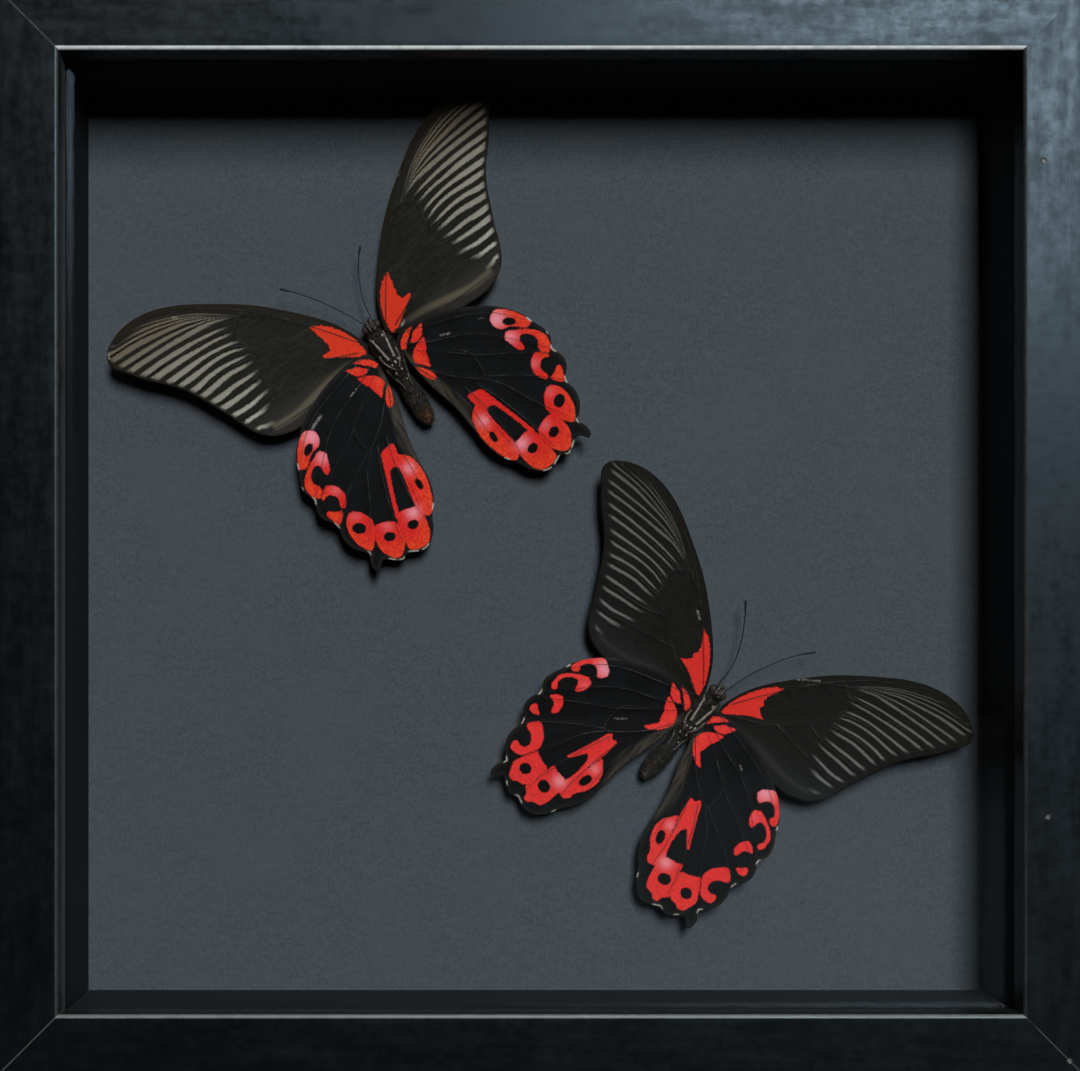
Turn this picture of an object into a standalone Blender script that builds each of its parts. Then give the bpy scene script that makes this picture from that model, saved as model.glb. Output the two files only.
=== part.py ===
"""A black deep box frame, 254 mm (10 in) square, with a pair of large swallowtail butterflies fixed inside it.

The butterflies show their undersides, in front of a board covered in grey paper.

Frame of the part: X to the right, front towards -Y, Z up, origin under the middle of the bottom rail.
The frame stands on its bottom rail. Metres throughout; MM turns millimetres into metres.
"""

import math

import bmesh
import bpy
import numpy as np

MM = 0.001
SIDES = ("bottom", "right", "top", "left")

# ---- driving dimensions of the box frame (mm); depth is measured back from the front face ----
OUTER = 254.0          # outside width and height
FRAME_DEPTH = 45.0
FACE_WIDTH = 15.1      # width of a rail, out to the inner wall of its lip
RABBET_WIDTH = 4.4     # how far the lip laps over the glass
LINER_INSET = 14.3     # inner face of the liner, a little behind the lip's
LIP_DEPTH = 7.0        # depth of the lip that holds the glass
OUTER_ROUND = 1.2      # rounding of the outer front arris
INNER_ROUND = 0.9      # rounding of the inner front arris
FIT = 0.3              # gap between touching pieces
GLASS_THICK = 2.0
BOARD_DEPTH = 36.0     # depth of the board's covered face
BOARD_THICK = 3.0
PANEL_THICK = 2.5

# ---- fixings on the back (mm) ----
TAB_LENGTH = 13.0
TAB_WIDTH = 8.0
TAB_THICK = 0.5
TAB_IN_RAIL = 4.0      # how far a tab is driven into its rail
TAB_OFFSET = 62.0      # from the middle of a rail to each of its two tabs
HANGER_WIDTH = 44.0
HANGER_HEIGHT = 8.0
HANGER_THICK = 0.8
HANGER_DROP = 24.0     # below the top of the frame
TEETH = 9
TEETH_SPAN = 24.0
TOOTH_DEPTH = 1.4
PIN_SPACING = 36.0
PIN_SHANK = 1.2
PIN_HEAD = 3.4
PIN_BITE = 1.5         # how far a pin goes into the panel
ROUND_SIDES = 16

# ---- the butterflies (mm, in each specimen's own frame: u out from the body, v towards the head) ----
WING_THICK = 0.4
FOREWING_HEIGHT = 4.6  # above the board, at the hinge
HINDWING_HEIGHT = 5.7
WING_RISE = 4.0        # degrees, wings rising away from the board towards their tips
FOREWING_HINGE = (4.0, 6.0)
HINDWING_HINGE = (4.0, 1.5)

# going out along the leading edge, round the apex, down the outer edge and back along the trailing edge
FOREWING_OUTLINE = [
    (3.6, 5.0), (3.9, 8.5), (7.4, 15.0), (13.8, 22.0), (23.0, 30.0), (35.0, 37.5), (46.0, 41.3),
    (55.0, 40.3), (59.7, 36.0), (57.0, 30.8), (49.2, 22.2), (43.6, 13.0), (39.2, 3.8), (34.8, -1.1),
    (27.0, -2.6), (14.0, -0.4),
]
# leading edge, scalloped outer edge with its short tail, then the trailing edge beside the abdomen
HINDWING_OUTLINE = [
    (3.9, 3.4), (9.0, 4.4), (19.0, 1.9), (28.0, -3.1), (33.2, -9.0), (35.8, -15.2), (34.9, -19.6),
    (35.9, -23.2), (33.6, -27.9), (33.9, -31.8), (32.0, -36.4), (30.4, -38.2), (31.5, -41.4), (30.4, -43.2),
    (28.6, -41.4), (24.2, -43.8), (21.6, -43.3), (17.4, -44.4), (13.4, -41.2), (11.4, -37.5), (8.6, -33.0),
    (7.7, -26.0), (5.9, -15.5), (4.2, -7.5), (3.4, -2.0),
]
# stations along the body: v, half width, half thickness, height of its middle above the board
BODY_STATIONS = [
    (11.4, 0.4, 0.4, 4.7), (10.7, 1.7, 1.6, 4.7), (9.4, 2.3, 2.1, 4.7), (8.2, 1.9, 1.9, 4.7),
    (7.5, 1.5, 1.6, 4.6), (6.6, 2.2, 2.6, 4.5), (4.4, 3.0, 3.4, 4.5), (1.0, 3.1, 3.5, 4.5),
    (-2.4, 2.8, 3.3, 4.4), (-4.9, 1.9, 2.3, 4.3), (-6.6, 1.8, 2.0, 4.2), (-9.6, 2.2, 2.3, 4.2),
    (-13.6, 2.4, 2.4, 4.1), (-16.6, 2.0, 2.0, 4.0), (-18.2, 1.2, 1.3, 4.0), (-18.9, 0.3, 0.4, 4.0),
]
BODY_SIDES = 16
RINGS_PER_STATION = 2
ANTENNA_RADIUS = 0.22
ANTENNA_CLUB = 0.5
LEG_RADIUS = 0.3
GLUE_SIZE = (5.0, 8.0)
GLUE_THICK = 0.4

# legs folded over the thorax: u, v from the hip to the foot, on the positive side
LEG_ROUTES = {
    "fore": [(0.8, -0.6), (1.2, 2.0), (1.6, 4.4), (2.0, 6.6)],
    "mid": [(2.3, 1.4), (2.1, -0.6), (1.4, -2.2), (0.6, -3.4)],
    "hind": [(2.4, -2.2), (2.0, -4.2), (1.3, -6.6), (1.0, -8.8)],
}

# each specimen: middle of the thorax, heading (degrees left of straight up), and how its wings are set.
# a wing's setting is its swing towards the head (degrees), its shift (u, v) and its size
SPECIMENS = {
    "specimen_a": {
        "place": (-36.3, 172.6),
        "heading": 32.3,
        "forewing_left": (0.0, 0.0, 0.0, 1.005),
        "forewing_right": (6.3, -0.6, 0.8, 0.975),
        "hindwing_left": (0.0, 0.0, 0.0, 1.005),
        "hindwing_right": (0.6, 0.0, 0.0, 1.005),
        "antenna_left": [(1.3, 11.2), (3.8, 15.6), (7.4, 21.2), (10.8, 25.4), (14.2, 28.8)],
        "antenna_right": [(1.2, 11.2), (2.0, 16.0), (4.0, 21.0), (6.2, 24.6), (8.4, 27.2)],
    },
    "specimen_b": {
        "place": (39.1, 82.4),
        "heading": -41.3,
        "forewing_left": (-2.8, -1.0, 0.6, 0.975),
        "forewing_right": (5.9, -0.2, 1.2, 0.975),
        "hindwing_left": (-1.0, -1.0, 0.6, 1.005),
        "hindwing_right": (4.5, -1.6, 1.5, 1.005),
        "antenna_left": [(1.2, 11.2), (1.8, 17.0), (4.2, 22.6), (7.2, 27.2), (10.2, 30.8)],
        "antenna_right": [(1.2, 11.2), (3.0, 17.6), (5.2, 23.0), (8.2, 28.6), (11.4, 32.6)],
    },
}

COLOURS = {
    "frame": ((0.012, 0.013, 0.014), 0.35, 0.0),
    "liner": ((0.02, 0.022, 0.024), 0.7, 0.0),
    "glass": ((0.9, 0.93, 0.92), 0.05, 0.0),
    "board": ((0.09, 0.105, 0.115), 0.9, 0.0),
    "panel": ((0.22, 0.13, 0.07), 0.8, 0.0),
    "steel": ((0.6, 0.6, 0.58), 0.35, 1.0),
    "brass": ((0.7, 0.5, 0.2), 0.35, 1.0),
    "wing": ((0.02, 0.018, 0.014), 0.8, 0.0),
    "body": ((0.05, 0.035, 0.025), 0.85, 0.0),
    "glue": ((0.7, 0.65, 0.5), 0.4, 0.0),
}


def clear_scene():
    for old in list(bpy.data.objects):
        bpy.data.objects.remove(old, do_unlink=True)


def material(kind):
    """The Principled material of a kind of piece, made once."""
    found = bpy.data.materials.get(kind)
    if found:
        return found
    colour, roughness, metallic = COLOURS[kind]
    made = bpy.data.materials.new(kind)
    made.use_nodes = True
    shader = made.node_tree.nodes["Principled BSDF"]
    shader.inputs["Base Color"].default_value = (*colour, 1.0)
    shader.inputs["Roughness"].default_value = roughness
    shader.inputs["Metallic"].default_value = metallic
    return made


def add_object(name, data, kind, parent=None):
    piece = bpy.data.objects.new(name, data)
    bpy.context.scene.collection.objects.link(piece)
    data.materials.append(material(kind))
    piece.parent = parent
    return piece


def mesh_from(name, vertices, faces):
    """A mesh in metres from points in millimetres, its faces turned outwards."""
    mesh = bpy.data.meshes.new(name)
    mesh.from_pydata([tuple(c * MM for c in point) for point in vertices], [], faces)
    work = bmesh.new()
    work.from_mesh(mesh)
    bmesh.ops.recalc_face_normals(work, faces=work.faces)
    work.to_mesh(mesh)
    work.free()
    return mesh


def smooth_line(points, steps, closed):
    """Points on the smooth curve (Catmull-Rom) that runs through the given ones."""
    line = np.array(points, float)
    count = len(line)
    out = []
    for i in range(count if closed else count - 1):
        if closed:
            before, start, end, after = (line[(i + k) % count] for k in (-1, 0, 1, 2))
        else:
            before, start, end, after = (line[min(max(i + k, 0), count - 1)] for k in (-1, 0, 1, 2))
        for step in range(steps):
            s = step / steps
            out.append(0.5 * (
                2 * start
                + (end - before) * s
                + (2 * before - 5 * start + 4 * end - after) * s**2
                + (3 * start - before - 3 * end + after) * s**3
            ))
    if not closed:
        out.append(line[-1])
    return out


def arc(centre, radius, start, end, steps):
    """Points of an arc, angles in degrees."""
    angles = np.radians(np.linspace(start, end, steps + 1))
    return [(centre[0] + radius * math.cos(a), centre[1] + radius * math.sin(a)) for a in angles]


def back_y(depth):
    """Y of a depth behind the front face."""
    return depth - FRAME_DEPTH / 2


def on_side(side, along, inset):
    """X, Z of a point on one side of the frame: along that side from its middle, and inwards from the outside."""
    half = OUTER / 2
    out = half - inset
    x, z = {"bottom": (along, -out), "right": (out, along), "top": (-along, out), "left": (-out, -along)}[side]
    return x, z + half


def prism_faces(n):
    """Faces of a prism whose points are one end's n, then the other end's n in the same order."""
    ends = [list(range(n)), list(range(n, 2 * n))]
    return ends + [[i, (i + 1) % n, n + (i + 1) % n, n + i] for i in range(n)]


def mitred_strip(name, side, profile, kind):
    """A straight strip with 45 degree ends. The profile is (inset from the outside, depth behind the face)."""
    vertices = []
    for end in (-1, 1):
        for inset, depth in profile:
            along = end * (OUTER / 2 - inset - FIT / math.sqrt(2))
            x, z = on_side(side, along, inset)
            vertices.append((x, back_y(depth), z))
    return add_object(name, mesh_from(name, vertices, prism_faces(len(profile))), kind)


def plate(name, outline, front, back, kind):
    """A flat plate facing -Y, from an outline in X, Z and the depths of its two faces."""
    vertices = [(x, back_y(depth), z) for depth in (front, back) for x, z in outline]
    return add_object(name, mesh_from(name, vertices, prism_faces(len(outline))), kind)


def rectangle(centre, width, height):
    x, z = centre
    return [
        (x - width / 2, z - height / 2), (x + width / 2, z - height / 2),
        (x + width / 2, z + height / 2), (x - width / 2, z + height / 2),
    ]


def cut(piece, cutter):
    """A Boolean difference that stays on the piece; its cutter is a guide only."""
    cutter.hide_render = True
    cutter.display_type = "WIRE"
    modifier = piece.modifiers.new("cut_" + cutter.name, "BOOLEAN")
    modifier.operation = "DIFFERENCE"
    modifier.solver = "EXACT"
    modifier.object = cutter


def oval(centre, half_width, half_height, sides):
    angles = [2 * math.pi * i / sides for i in range(sides)]
    return [(centre[0] + half_width * math.cos(a), centre[1] + half_height * math.sin(a)) for a in angles]


# ---- the box frame ----

def build_rails():
    lip = FACE_WIDTH
    wall = FACE_WIDTH - RABBET_WIDTH
    profile = arc((OUTER_ROUND, OUTER_ROUND), OUTER_ROUND, 180, 270, 4)
    profile += arc((lip - INNER_ROUND, INNER_ROUND), INNER_ROUND, 270, 360, 4)
    profile += [(lip, LIP_DEPTH), (wall, LIP_DEPTH), (wall, FRAME_DEPTH), (0.0, FRAME_DEPTH)]
    return {side: mitred_strip("frame_rail_" + side, side, profile, "frame") for side in SIDES}


def build_glazing_and_liner():
    inside = OUTER - 2 * (FACE_WIDTH - RABBET_WIDTH + 2 * FIT)
    middle = (0.0, OUTER / 2)
    glass_front = LIP_DEPTH + FIT
    glass_back = glass_front + GLASS_THICK
    plate("glass_pane", rectangle(middle, inside, inside), glass_front, glass_back, "glass")
    outer_face = FACE_WIDTH - RABBET_WIDTH + FIT
    liner = [
        (outer_face, glass_back + FIT), (LINER_INSET, glass_back + FIT),
        (LINER_INSET, BOARD_DEPTH - FIT), (outer_face, BOARD_DEPTH - FIT),
    ]
    for side in SIDES:
        mitred_strip("liner_strip_" + side, side, liner, "liner")
    sheet = rectangle(middle, inside, inside)
    plate("mounting_board", sheet, BOARD_DEPTH, BOARD_DEPTH + BOARD_THICK, "board")
    panel_front = BOARD_DEPTH + BOARD_THICK + FIT
    panel_back = panel_front + PANEL_THICK
    return plate("backing_panel", sheet, panel_front, panel_back, "panel"), panel_back


def build_tabs(rails, panel_back):
    """Two bendable steel points in each rail, pressed flat over the backing panel."""
    wall = FACE_WIDTH - RABBET_WIDTH
    front = panel_back + FIT
    back = front + TAB_THICK
    nose = TAB_WIDTH / 2
    root = wall - TAB_IN_RAIL
    tip = root + TAB_LENGTH
    room = nose + FIT
    tab_half = [(nose, root), (nose, tip - nose), (nose * 0.4, tip)]
    slot_half = [(room, root - FIT), (room, wall + 2)]

    def both_halves(side, middle, half_outline):
        right = [on_side(side, middle + across, inset) for across, inset in half_outline]
        left = [on_side(side, middle - across, inset) for across, inset in reversed(half_outline)]
        return right + left

    for side, rail in rails.items():
        for number, middle in enumerate((-TAB_OFFSET, TAB_OFFSET), 1):
            tab_outline = both_halves(side, middle, tab_half)
            slot_outline = both_halves(side, middle, slot_half)
            plate(f"retaining_tab_{side}_{number}", tab_outline, front, back, "steel")
            cut(rail, plate(f"slot_{side}_{number}", slot_outline, front - FIT, back + FIT, "steel"))


def build_hanger(panel, panel_back):
    """A sawtooth hanging plate held on the backing panel by two pins."""
    z = OUTER - HANGER_DROP
    half_width = HANGER_WIDTH / 2
    half_height = HANGER_HEIGHT / 2
    pitch = TEETH_SPAN / (2 * TEETH)
    top = [(half_width, z - half_height), (half_width, z + half_height),
           (-half_width, z + half_height), (-half_width, z - half_height)]
    row = [(pitch * (i - TEETH), z - half_height + TOOTH_DEPTH * (i % 2)) for i in range(2 * TEETH + 1)]
    front = panel_back + FIT
    back = front + HANGER_THICK
    hanger = plate("hanger_plate", top + row, front, back, "brass")
    for side, x in (("left", -PIN_SPACING / 2), ("right", PIN_SPACING / 2)):
        bore = oval((x, z), PIN_SHANK / 2 + FIT, PIN_SHANK / 2 + FIT, ROUND_SIDES)
        cut(hanger, plate(f"hanger_bore_{side}", bore, front - 1, back + 1, "brass"))
        cut(panel, plate(f"panel_bore_{side}", bore, panel_back - PIN_BITE - FIT, panel_back + 1, "panel"))
        build_pin(f"hanger_pin_{side}", (x, z), panel_back - PIN_BITE, back + FIT)


def build_pin(name, centre, tip_depth, head_depth):
    """A turned pin: shank towards the panel, low domed head at the back."""
    shank = PIN_SHANK / 2
    head = PIN_HEAD / 2
    profile = [(0.0, tip_depth), (shank * 0.8, tip_depth), (shank, tip_depth + 0.2), (shank, head_depth),
               (head, head_depth), (head * 0.85, head_depth + 0.5), (head * 0.45, head_depth + 0.8),
               (0.0, head_depth + 0.9)]
    sides = ROUND_SIDES
    vertices = [(centre[0], back_y(tip_depth), centre[1])]
    for radius, depth in profile[1:-1]:
        vertices += [(x, back_y(depth), z) for x, z in oval(centre, radius, radius, sides)]
    vertices.append((centre[0], back_y(profile[-1][1]), centre[1]))
    last = len(vertices) - 1
    rings = len(profile) - 2
    faces = []
    for i in range(sides):
        k = (i + 1) % sides
        faces.append([0, 1 + i, 1 + k])
        for ring in range(rings - 1):
            low, high = 1 + ring * sides, 1 + (ring + 1) * sides
            faces.append([low + i, low + k, high + k, high + i])
        faces.append([last, last - sides + k, last - sides + i])
    return add_object(name, mesh_from(name, vertices, faces), "steel")


# ---- the butterflies ----

def body_rings():
    """Dense stations along the body, head first."""
    return smooth_line(BODY_STATIONS, RINGS_PER_STATION, closed=False)


def belly_height(u, v):
    """Height of the body's underside, which faces forward, above the board at u, v."""
    rings = np.array(body_rings())[::-1]
    half_width, half_thick, middle = (np.interp(v, rings[:, 0], rings[:, k]) for k in (1, 2, 3))
    share = min(abs(u) / half_width, 1.0)
    return middle + half_thick * math.sqrt(1 - share**2)


def build_body(name, parent, grow=0.0, kind="body"):
    """Head, thorax and abdomen in one solid. grow makes the larger copy that cuts the wings clear of it."""
    vertices = []
    rings = body_rings()
    for v, half_width, half_thick, middle in rings:
        for i in range(BODY_SIDES):
            a = 2 * math.pi * i / BODY_SIDES
            u = (max(half_width, 0.2) + grow) * math.cos(a)
            vertices.append((u, -(middle + (max(half_thick, 0.2) + grow) * math.sin(a)), v))
    count = len(rings)
    faces = [list(range(BODY_SIDES)), list(range((count - 1) * BODY_SIDES, count * BODY_SIDES))]
    for ring in range(count - 1):
        for i in range(BODY_SIDES):
            k = (i + 1) % BODY_SIDES
            low, high = ring * BODY_SIDES, (ring + 1) * BODY_SIDES
            faces.append([low + i, low + k, high + k, high + i])
    mesh = mesh_from(name, vertices, faces)
    mesh.shade_smooth()
    return add_object(name, mesh, kind, parent)


def build_wing(name, parent, outline, steps, hinge, height, setting, side, clearance):
    """A thin flat wing, swung about its hinge and tilted so that its tip stands off the board."""
    swing, shift_u, shift_v, size = setting
    loop = smooth_line(outline, steps, closed=True)
    vertices = []
    for face in (-0.5, 0.5):
        for u, v in loop:
            vertices.append((side * (u - hinge[0]) * size, face * WING_THICK, (v - hinge[1]) * size))
    wing = add_object(name, mesh_from(name, vertices, prism_faces(len(loop))), "wing", parent)
    wing.location = (side * (hinge[0] + shift_u) * MM, -height * MM, (hinge[1] + shift_v) * MM)
    wing.rotation_euler = (0.0, math.radians(-side * swing), math.radians(-side * WING_RISE))
    cut(wing, clearance)
    return wing


def build_curve(name, parent, points, radii, kind, resolution):
    """A round tube along points (u, height above the board, v), with one radius for each."""
    curve = bpy.data.curves.new(name, "CURVE")
    curve.dimensions = "3D"
    curve.bevel_depth = MM
    curve.bevel_resolution = resolution
    curve.use_fill_caps = True
    spline = curve.splines.new("POLY")
    spline.points.add(len(points) - 1)
    for target, (u, height, v), radius in zip(spline.points, points, radii):
        target.co = (u * MM, -height * MM, v * MM, 1.0)
        target.radius = radius
    return add_object(name, curve, kind, parent)


def build_antenna(name, parent, route, side):
    line = smooth_line(route, 4, closed=False)
    count = len(line)
    points = []
    radii = []
    for i, (u, v) in enumerate(line):
        share = i / (count - 1)
        points.append((side * u, 5.2 + 2.6 * share, v))
        radii.append(ANTENNA_RADIUS + (ANTENNA_CLUB - ANTENNA_RADIUS) * max(0.0, (share - 0.78) / 0.22) ** 1.5)
    radii[-1] = ANTENNA_CLUB * 0.5
    return build_curve(name, parent, points, radii, "body", 2)


def build_leg(name, parent, route, side):
    line = smooth_line(route, 2, closed=False)
    clear = FIT + LEG_RADIUS + 0.15
    points = [(side * u, belly_height(u, v) + clear, v) for u, v in line]
    return build_curve(name, parent, points, [LEG_RADIUS] * len(points), "body", 1)


def build_glue(name, parent):
    """The flat dab of glue between the back of the thorax and the board."""
    outline = oval((0.0, 1.0), GLUE_SIZE[0] / 2, GLUE_SIZE[1] / 2, ROUND_SIDES)
    vertices = [(u, -height, v) for height in (FIT, FIT + GLUE_THICK) for u, v in outline]
    return add_object(name, mesh_from(name, vertices, prism_faces(len(outline))), "glue", parent)


def build_specimen(name, design):
    """One butterfly on an empty that stands on the board under its thorax, turned to its heading."""
    base = bpy.data.objects.new(name, None)
    bpy.context.scene.collection.objects.link(base)
    x, z = design["place"]
    base.location = (x * MM, back_y(BOARD_DEPTH) * MM, z * MM)
    base.rotation_euler = (0.0, math.radians(-design["heading"]), 0.0)
    build_glue(name + "_glue_dab", base)
    build_body(name + "_body", base)
    clearance = build_body(name + "_clearance", base, grow=FIT)
    for word, side in (("left", -1), ("right", 1)):
        build_wing(f"{name}_forewing_{word}", base, FOREWING_OUTLINE, 4, FOREWING_HINGE, FOREWING_HEIGHT,
                   design["forewing_" + word], side, clearance)
        build_wing(f"{name}_hindwing_{word}", base, HINDWING_OUTLINE, 3, HINDWING_HINGE, HINDWING_HEIGHT,
                   design["hindwing_" + word], side, clearance)
        build_antenna(f"{name}_antenna_{word}", base, design["antenna_" + word], side)
        for leg, route in LEG_ROUTES.items():
            build_leg(f"{name}_leg_{leg}_{word}", base, route, side)


clear_scene()
all_rails = build_rails()
back_panel, panel_back_depth = build_glazing_and_liner()
build_tabs(all_rails, panel_back_depth)
build_hanger(back_panel, panel_back_depth)
for specimen_name, specimen_design in SPECIMENS.items():
    build_specimen(specimen_name, specimen_design)
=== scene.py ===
import math

import bmesh
import bpy
import numpy as np
from mathutils import Euler, Matrix, Vector, geometry, noise


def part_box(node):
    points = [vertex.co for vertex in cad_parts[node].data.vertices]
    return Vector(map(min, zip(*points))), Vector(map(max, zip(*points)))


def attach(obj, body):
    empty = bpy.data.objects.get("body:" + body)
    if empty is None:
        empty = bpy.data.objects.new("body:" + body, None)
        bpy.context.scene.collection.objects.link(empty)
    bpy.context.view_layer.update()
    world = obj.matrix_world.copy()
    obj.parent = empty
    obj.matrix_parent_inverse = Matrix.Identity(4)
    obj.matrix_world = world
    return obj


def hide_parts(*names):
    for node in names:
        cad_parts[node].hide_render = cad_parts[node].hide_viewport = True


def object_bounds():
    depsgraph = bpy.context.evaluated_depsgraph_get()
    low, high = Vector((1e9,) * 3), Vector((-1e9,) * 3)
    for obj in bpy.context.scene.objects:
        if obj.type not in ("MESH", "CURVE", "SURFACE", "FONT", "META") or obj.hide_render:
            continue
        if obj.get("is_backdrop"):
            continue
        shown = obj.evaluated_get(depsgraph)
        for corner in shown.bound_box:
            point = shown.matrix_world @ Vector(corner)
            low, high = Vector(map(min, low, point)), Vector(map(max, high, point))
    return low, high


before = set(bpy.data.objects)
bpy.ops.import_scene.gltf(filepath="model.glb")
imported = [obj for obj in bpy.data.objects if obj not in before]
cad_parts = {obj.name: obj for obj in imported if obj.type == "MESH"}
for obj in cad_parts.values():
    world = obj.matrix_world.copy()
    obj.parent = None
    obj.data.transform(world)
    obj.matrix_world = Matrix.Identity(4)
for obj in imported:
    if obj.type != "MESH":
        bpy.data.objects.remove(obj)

cadLow, cadHigh = (Vector(corner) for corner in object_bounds())
mm = 0.001

railLow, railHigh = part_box("frame_rail_left")
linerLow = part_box("liner_strip_left")[0]
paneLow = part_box("glass_pane")[0]
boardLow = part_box("mounting_board")[0]
half = (cadHigh.x - cadLow.x) / 2  # of the frame's outside
middle = Vector((0.0, 0.0, cadLow.z + half))
faceY = cadLow.y  # front of the rails
boardY = boardLow.y  # covered face of the board
print("frame read:", len(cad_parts), "nodes")


# small tools

def smoothLine(points, steps, closed=False):
    # Catmull-Rom curve through the points
    line = np.array(points, float)
    count = len(line)
    spans = count if closed else count - 1
    out = []
    for i in range(spans):
        if closed:
            before, start, end, after = (line[(i + k) % count] for k in (-1, 0, 1, 2))
        else:
            before, start, end, after = (line[min(max(i + k, 0), count - 1)] for k in (-1, 0, 1, 2))
        for step in range(steps):
            s = step / steps
            bend = (2 * before - 5 * start + 4 * end - after) * s**2
            twist = (3 * start - before - 3 * end + after) * s**3
            out.append(0.5 * (2 * start + (end - before) * s + bend + twist))
    if not closed:
        out.append(line[-1])
    return np.array(out)


def lineDistance(line, points, closed=False):
    # distance of every point to a run of straight pieces, and how far along it the nearest place is (0 to 1)
    starts = line if closed else line[:-1]
    ends = np.roll(line, -1, axis=0) if closed else line[1:]
    best = np.full(len(points), 1e9)
    share = np.zeros(len(points))
    for i, (a, b) in enumerate(zip(starts, ends)):
        along = b - a
        t = np.clip(((points - a) @ along) / max(along @ along, 1e-12), 0, 1)
        away = np.linalg.norm(points - (a + t[:, None] * along), axis=1)
        nearer = away < best
        best = np.where(nearer, away, best)
        share = np.where(nearer, (i + t) / len(starts), share)
    return best, share


def insideLoop(loop, points):
    x, y = points[:, 0], points[:, 1]
    inside = np.zeros(len(points), bool)
    for (ax, ay), (bx, by) in zip(loop, np.roll(loop, -1, axis=0)):
        crosses = (ay > y) != (by > y)
        reach = (bx - ax) * (y - ay) / ((by - ay) or 1e-12) + ax
        inside ^= crosses & (x < reach)
    return inside


def depthInside(loop, points):
    # distance to a closed loop, positive inside
    away, _ = lineDistance(loop, points, closed=True)
    return np.where(insideLoop(loop, points), away, -away)


def easeBetween(value, low, high):
    t = np.clip((value - low) / (high - low), 0, 1)
    return t * t * (3 - 2 * t)


def newPiece(name, mesh, materials, stands):
    # a finished piece at the origin, riding on the frame
    piece = bpy.data.objects.new(name, mesh)
    bpy.context.scene.collection.objects.link(piece)
    mesh.materials.clear()
    for material in materials:
        mesh.materials.append(material)
    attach(piece, "root")
    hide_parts(*stands)


def meshFrom(name, points, faces, outward=True):
    mesh = bpy.data.meshes.new(name)
    mesh.from_pydata([tuple(p) for p in points], [], [tuple(f) for f in faces])
    if outward:
        work = bmesh.new()
        work.from_mesh(mesh)
        bmesh.ops.recalc_face_normals(work, faces=work.faces)
        work.to_mesh(mesh)
        work.free()
    mesh.shade_smooth()
    return mesh


def tubeMesh(points, radii, sides, up=Vector((0, 1, 0))):
    # points and faces of a round tube along a line, closed at both ends
    line = [Vector(p) for p in points]
    rings = []
    for i, here in enumerate(line):
        ahead = (line[min(i + 1, len(line) - 1)] - line[max(i - 1, 0)]).normalized()
        across = ahead.cross(up)
        across = (across if across.length > 1e-4 else ahead.cross(Vector((1, 0, 0)))).normalized()
        other = across.cross(ahead)
        for k in range(sides):
            a = 2 * math.pi * k / sides
            rings.append(here + (across * math.cos(a) + other * math.sin(a)) * radii[i])
    faces = [tuple(range(sides)), tuple(range((len(line) - 1) * sides, len(line) * sides))]
    for i in range(len(line) - 1):
        for k in range(sides):
            low, high = i * sides, (i + 1) * sides
            faces.append((low + k, low + (k + 1) % sides, high + (k + 1) % sides, high + k))
    return rings, faces


def addParts(parts):
    # joins several (points, faces) into one
    points = []
    faces = []
    for somePoints, someFaces in parts:
        base = len(points)
        points += [tuple(p) for p in somePoints]
        faces += [tuple(base + i for i in face) for face in someFaces]
    return points, faces


# shader tools

def add(tree, kind, inputs=None, **settings):
    node = tree.nodes.new(kind)
    for key, value in settings.items():
        setattr(node, key, value)
    for key, value in (inputs or {}).items():
        socket = node.inputs[key]
        if isinstance(value, bpy.types.NodeSocket):
            tree.links.new(value, socket)
        else:
            socket.default_value = value
    return node


def calc(tree, operation, a, b=0.0):
    return add(tree, "ShaderNodeMath", {0: a, 1: b}, operation=operation).outputs[0]


def times(tree, a, b):
    return calc(tree, "MULTIPLY", a, b)


def plus(tree, a, b):
    return calc(tree, "ADD", a, b)


def ramp(tree, value, low, high, start=0.0, end=1.0):
    inputs = {"Value": value, "From Min": low, "From Max": high, "To Min": start, "To Max": end}
    return add(tree, "ShaderNodeMapRange", inputs, interpolation_type="SMOOTHSTEP").outputs[0]


def tint(tree, factor, a, b, how="MIX"):
    colours = [c if isinstance(c, bpy.types.NodeSocket) else (*c, 1.0) for c in (a, b)]
    inputs = {0: factor, 6: colours[0], 7: colours[1]}
    return add(tree, "ShaderNodeMix", inputs, data_type="RGBA", blend_type=how).outputs[2]


def laidOver(tree, colour, mask, amount, layer):
    # another colour over the first one, by a mask and an amount
    return tint(tree, times(tree, mask, amount), colour, layer)


def shaded(colour, factor):
    return tuple(c * factor for c in colour)


def attribute(tree, name):
    return add(tree, "ShaderNodeAttribute", attribute_name=name).outputs["Fac"]


def frayed(tree, name, fray, amount):
    # a distance made ragged by noise
    return plus(tree, attribute(tree, name), times(tree, fray, amount))


def grains(tree, vector, scale, detail=3.0, roughness=0.5, stretch=None):
    if stretch:
        vector = add(tree, "ShaderNodeMapping", {"Vector": vector, "Scale": stretch}).outputs[0]
    inputs = {"Vector": vector, "Scale": scale, "Detail": detail, "Roughness": roughness}
    return add(tree, "ShaderNodeTexNoise", inputs).outputs[0]


def newGroup(name, inputs, outputs):
    group = bpy.data.node_groups.new(name, "ShaderNodeTree")
    for label, kind, value in inputs:
        socket = group.interface.new_socket(label, in_out="INPUT", socket_type="NodeSocket" + kind)
        if value is not None:
            socket.default_value = value
    for label, kind in outputs:
        group.interface.new_socket(label, in_out="OUTPUT", socket_type="NodeSocket" + kind)
    return group, group.nodes.new("NodeGroupInput"), group.nodes.new("NodeGroupOutput")


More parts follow.
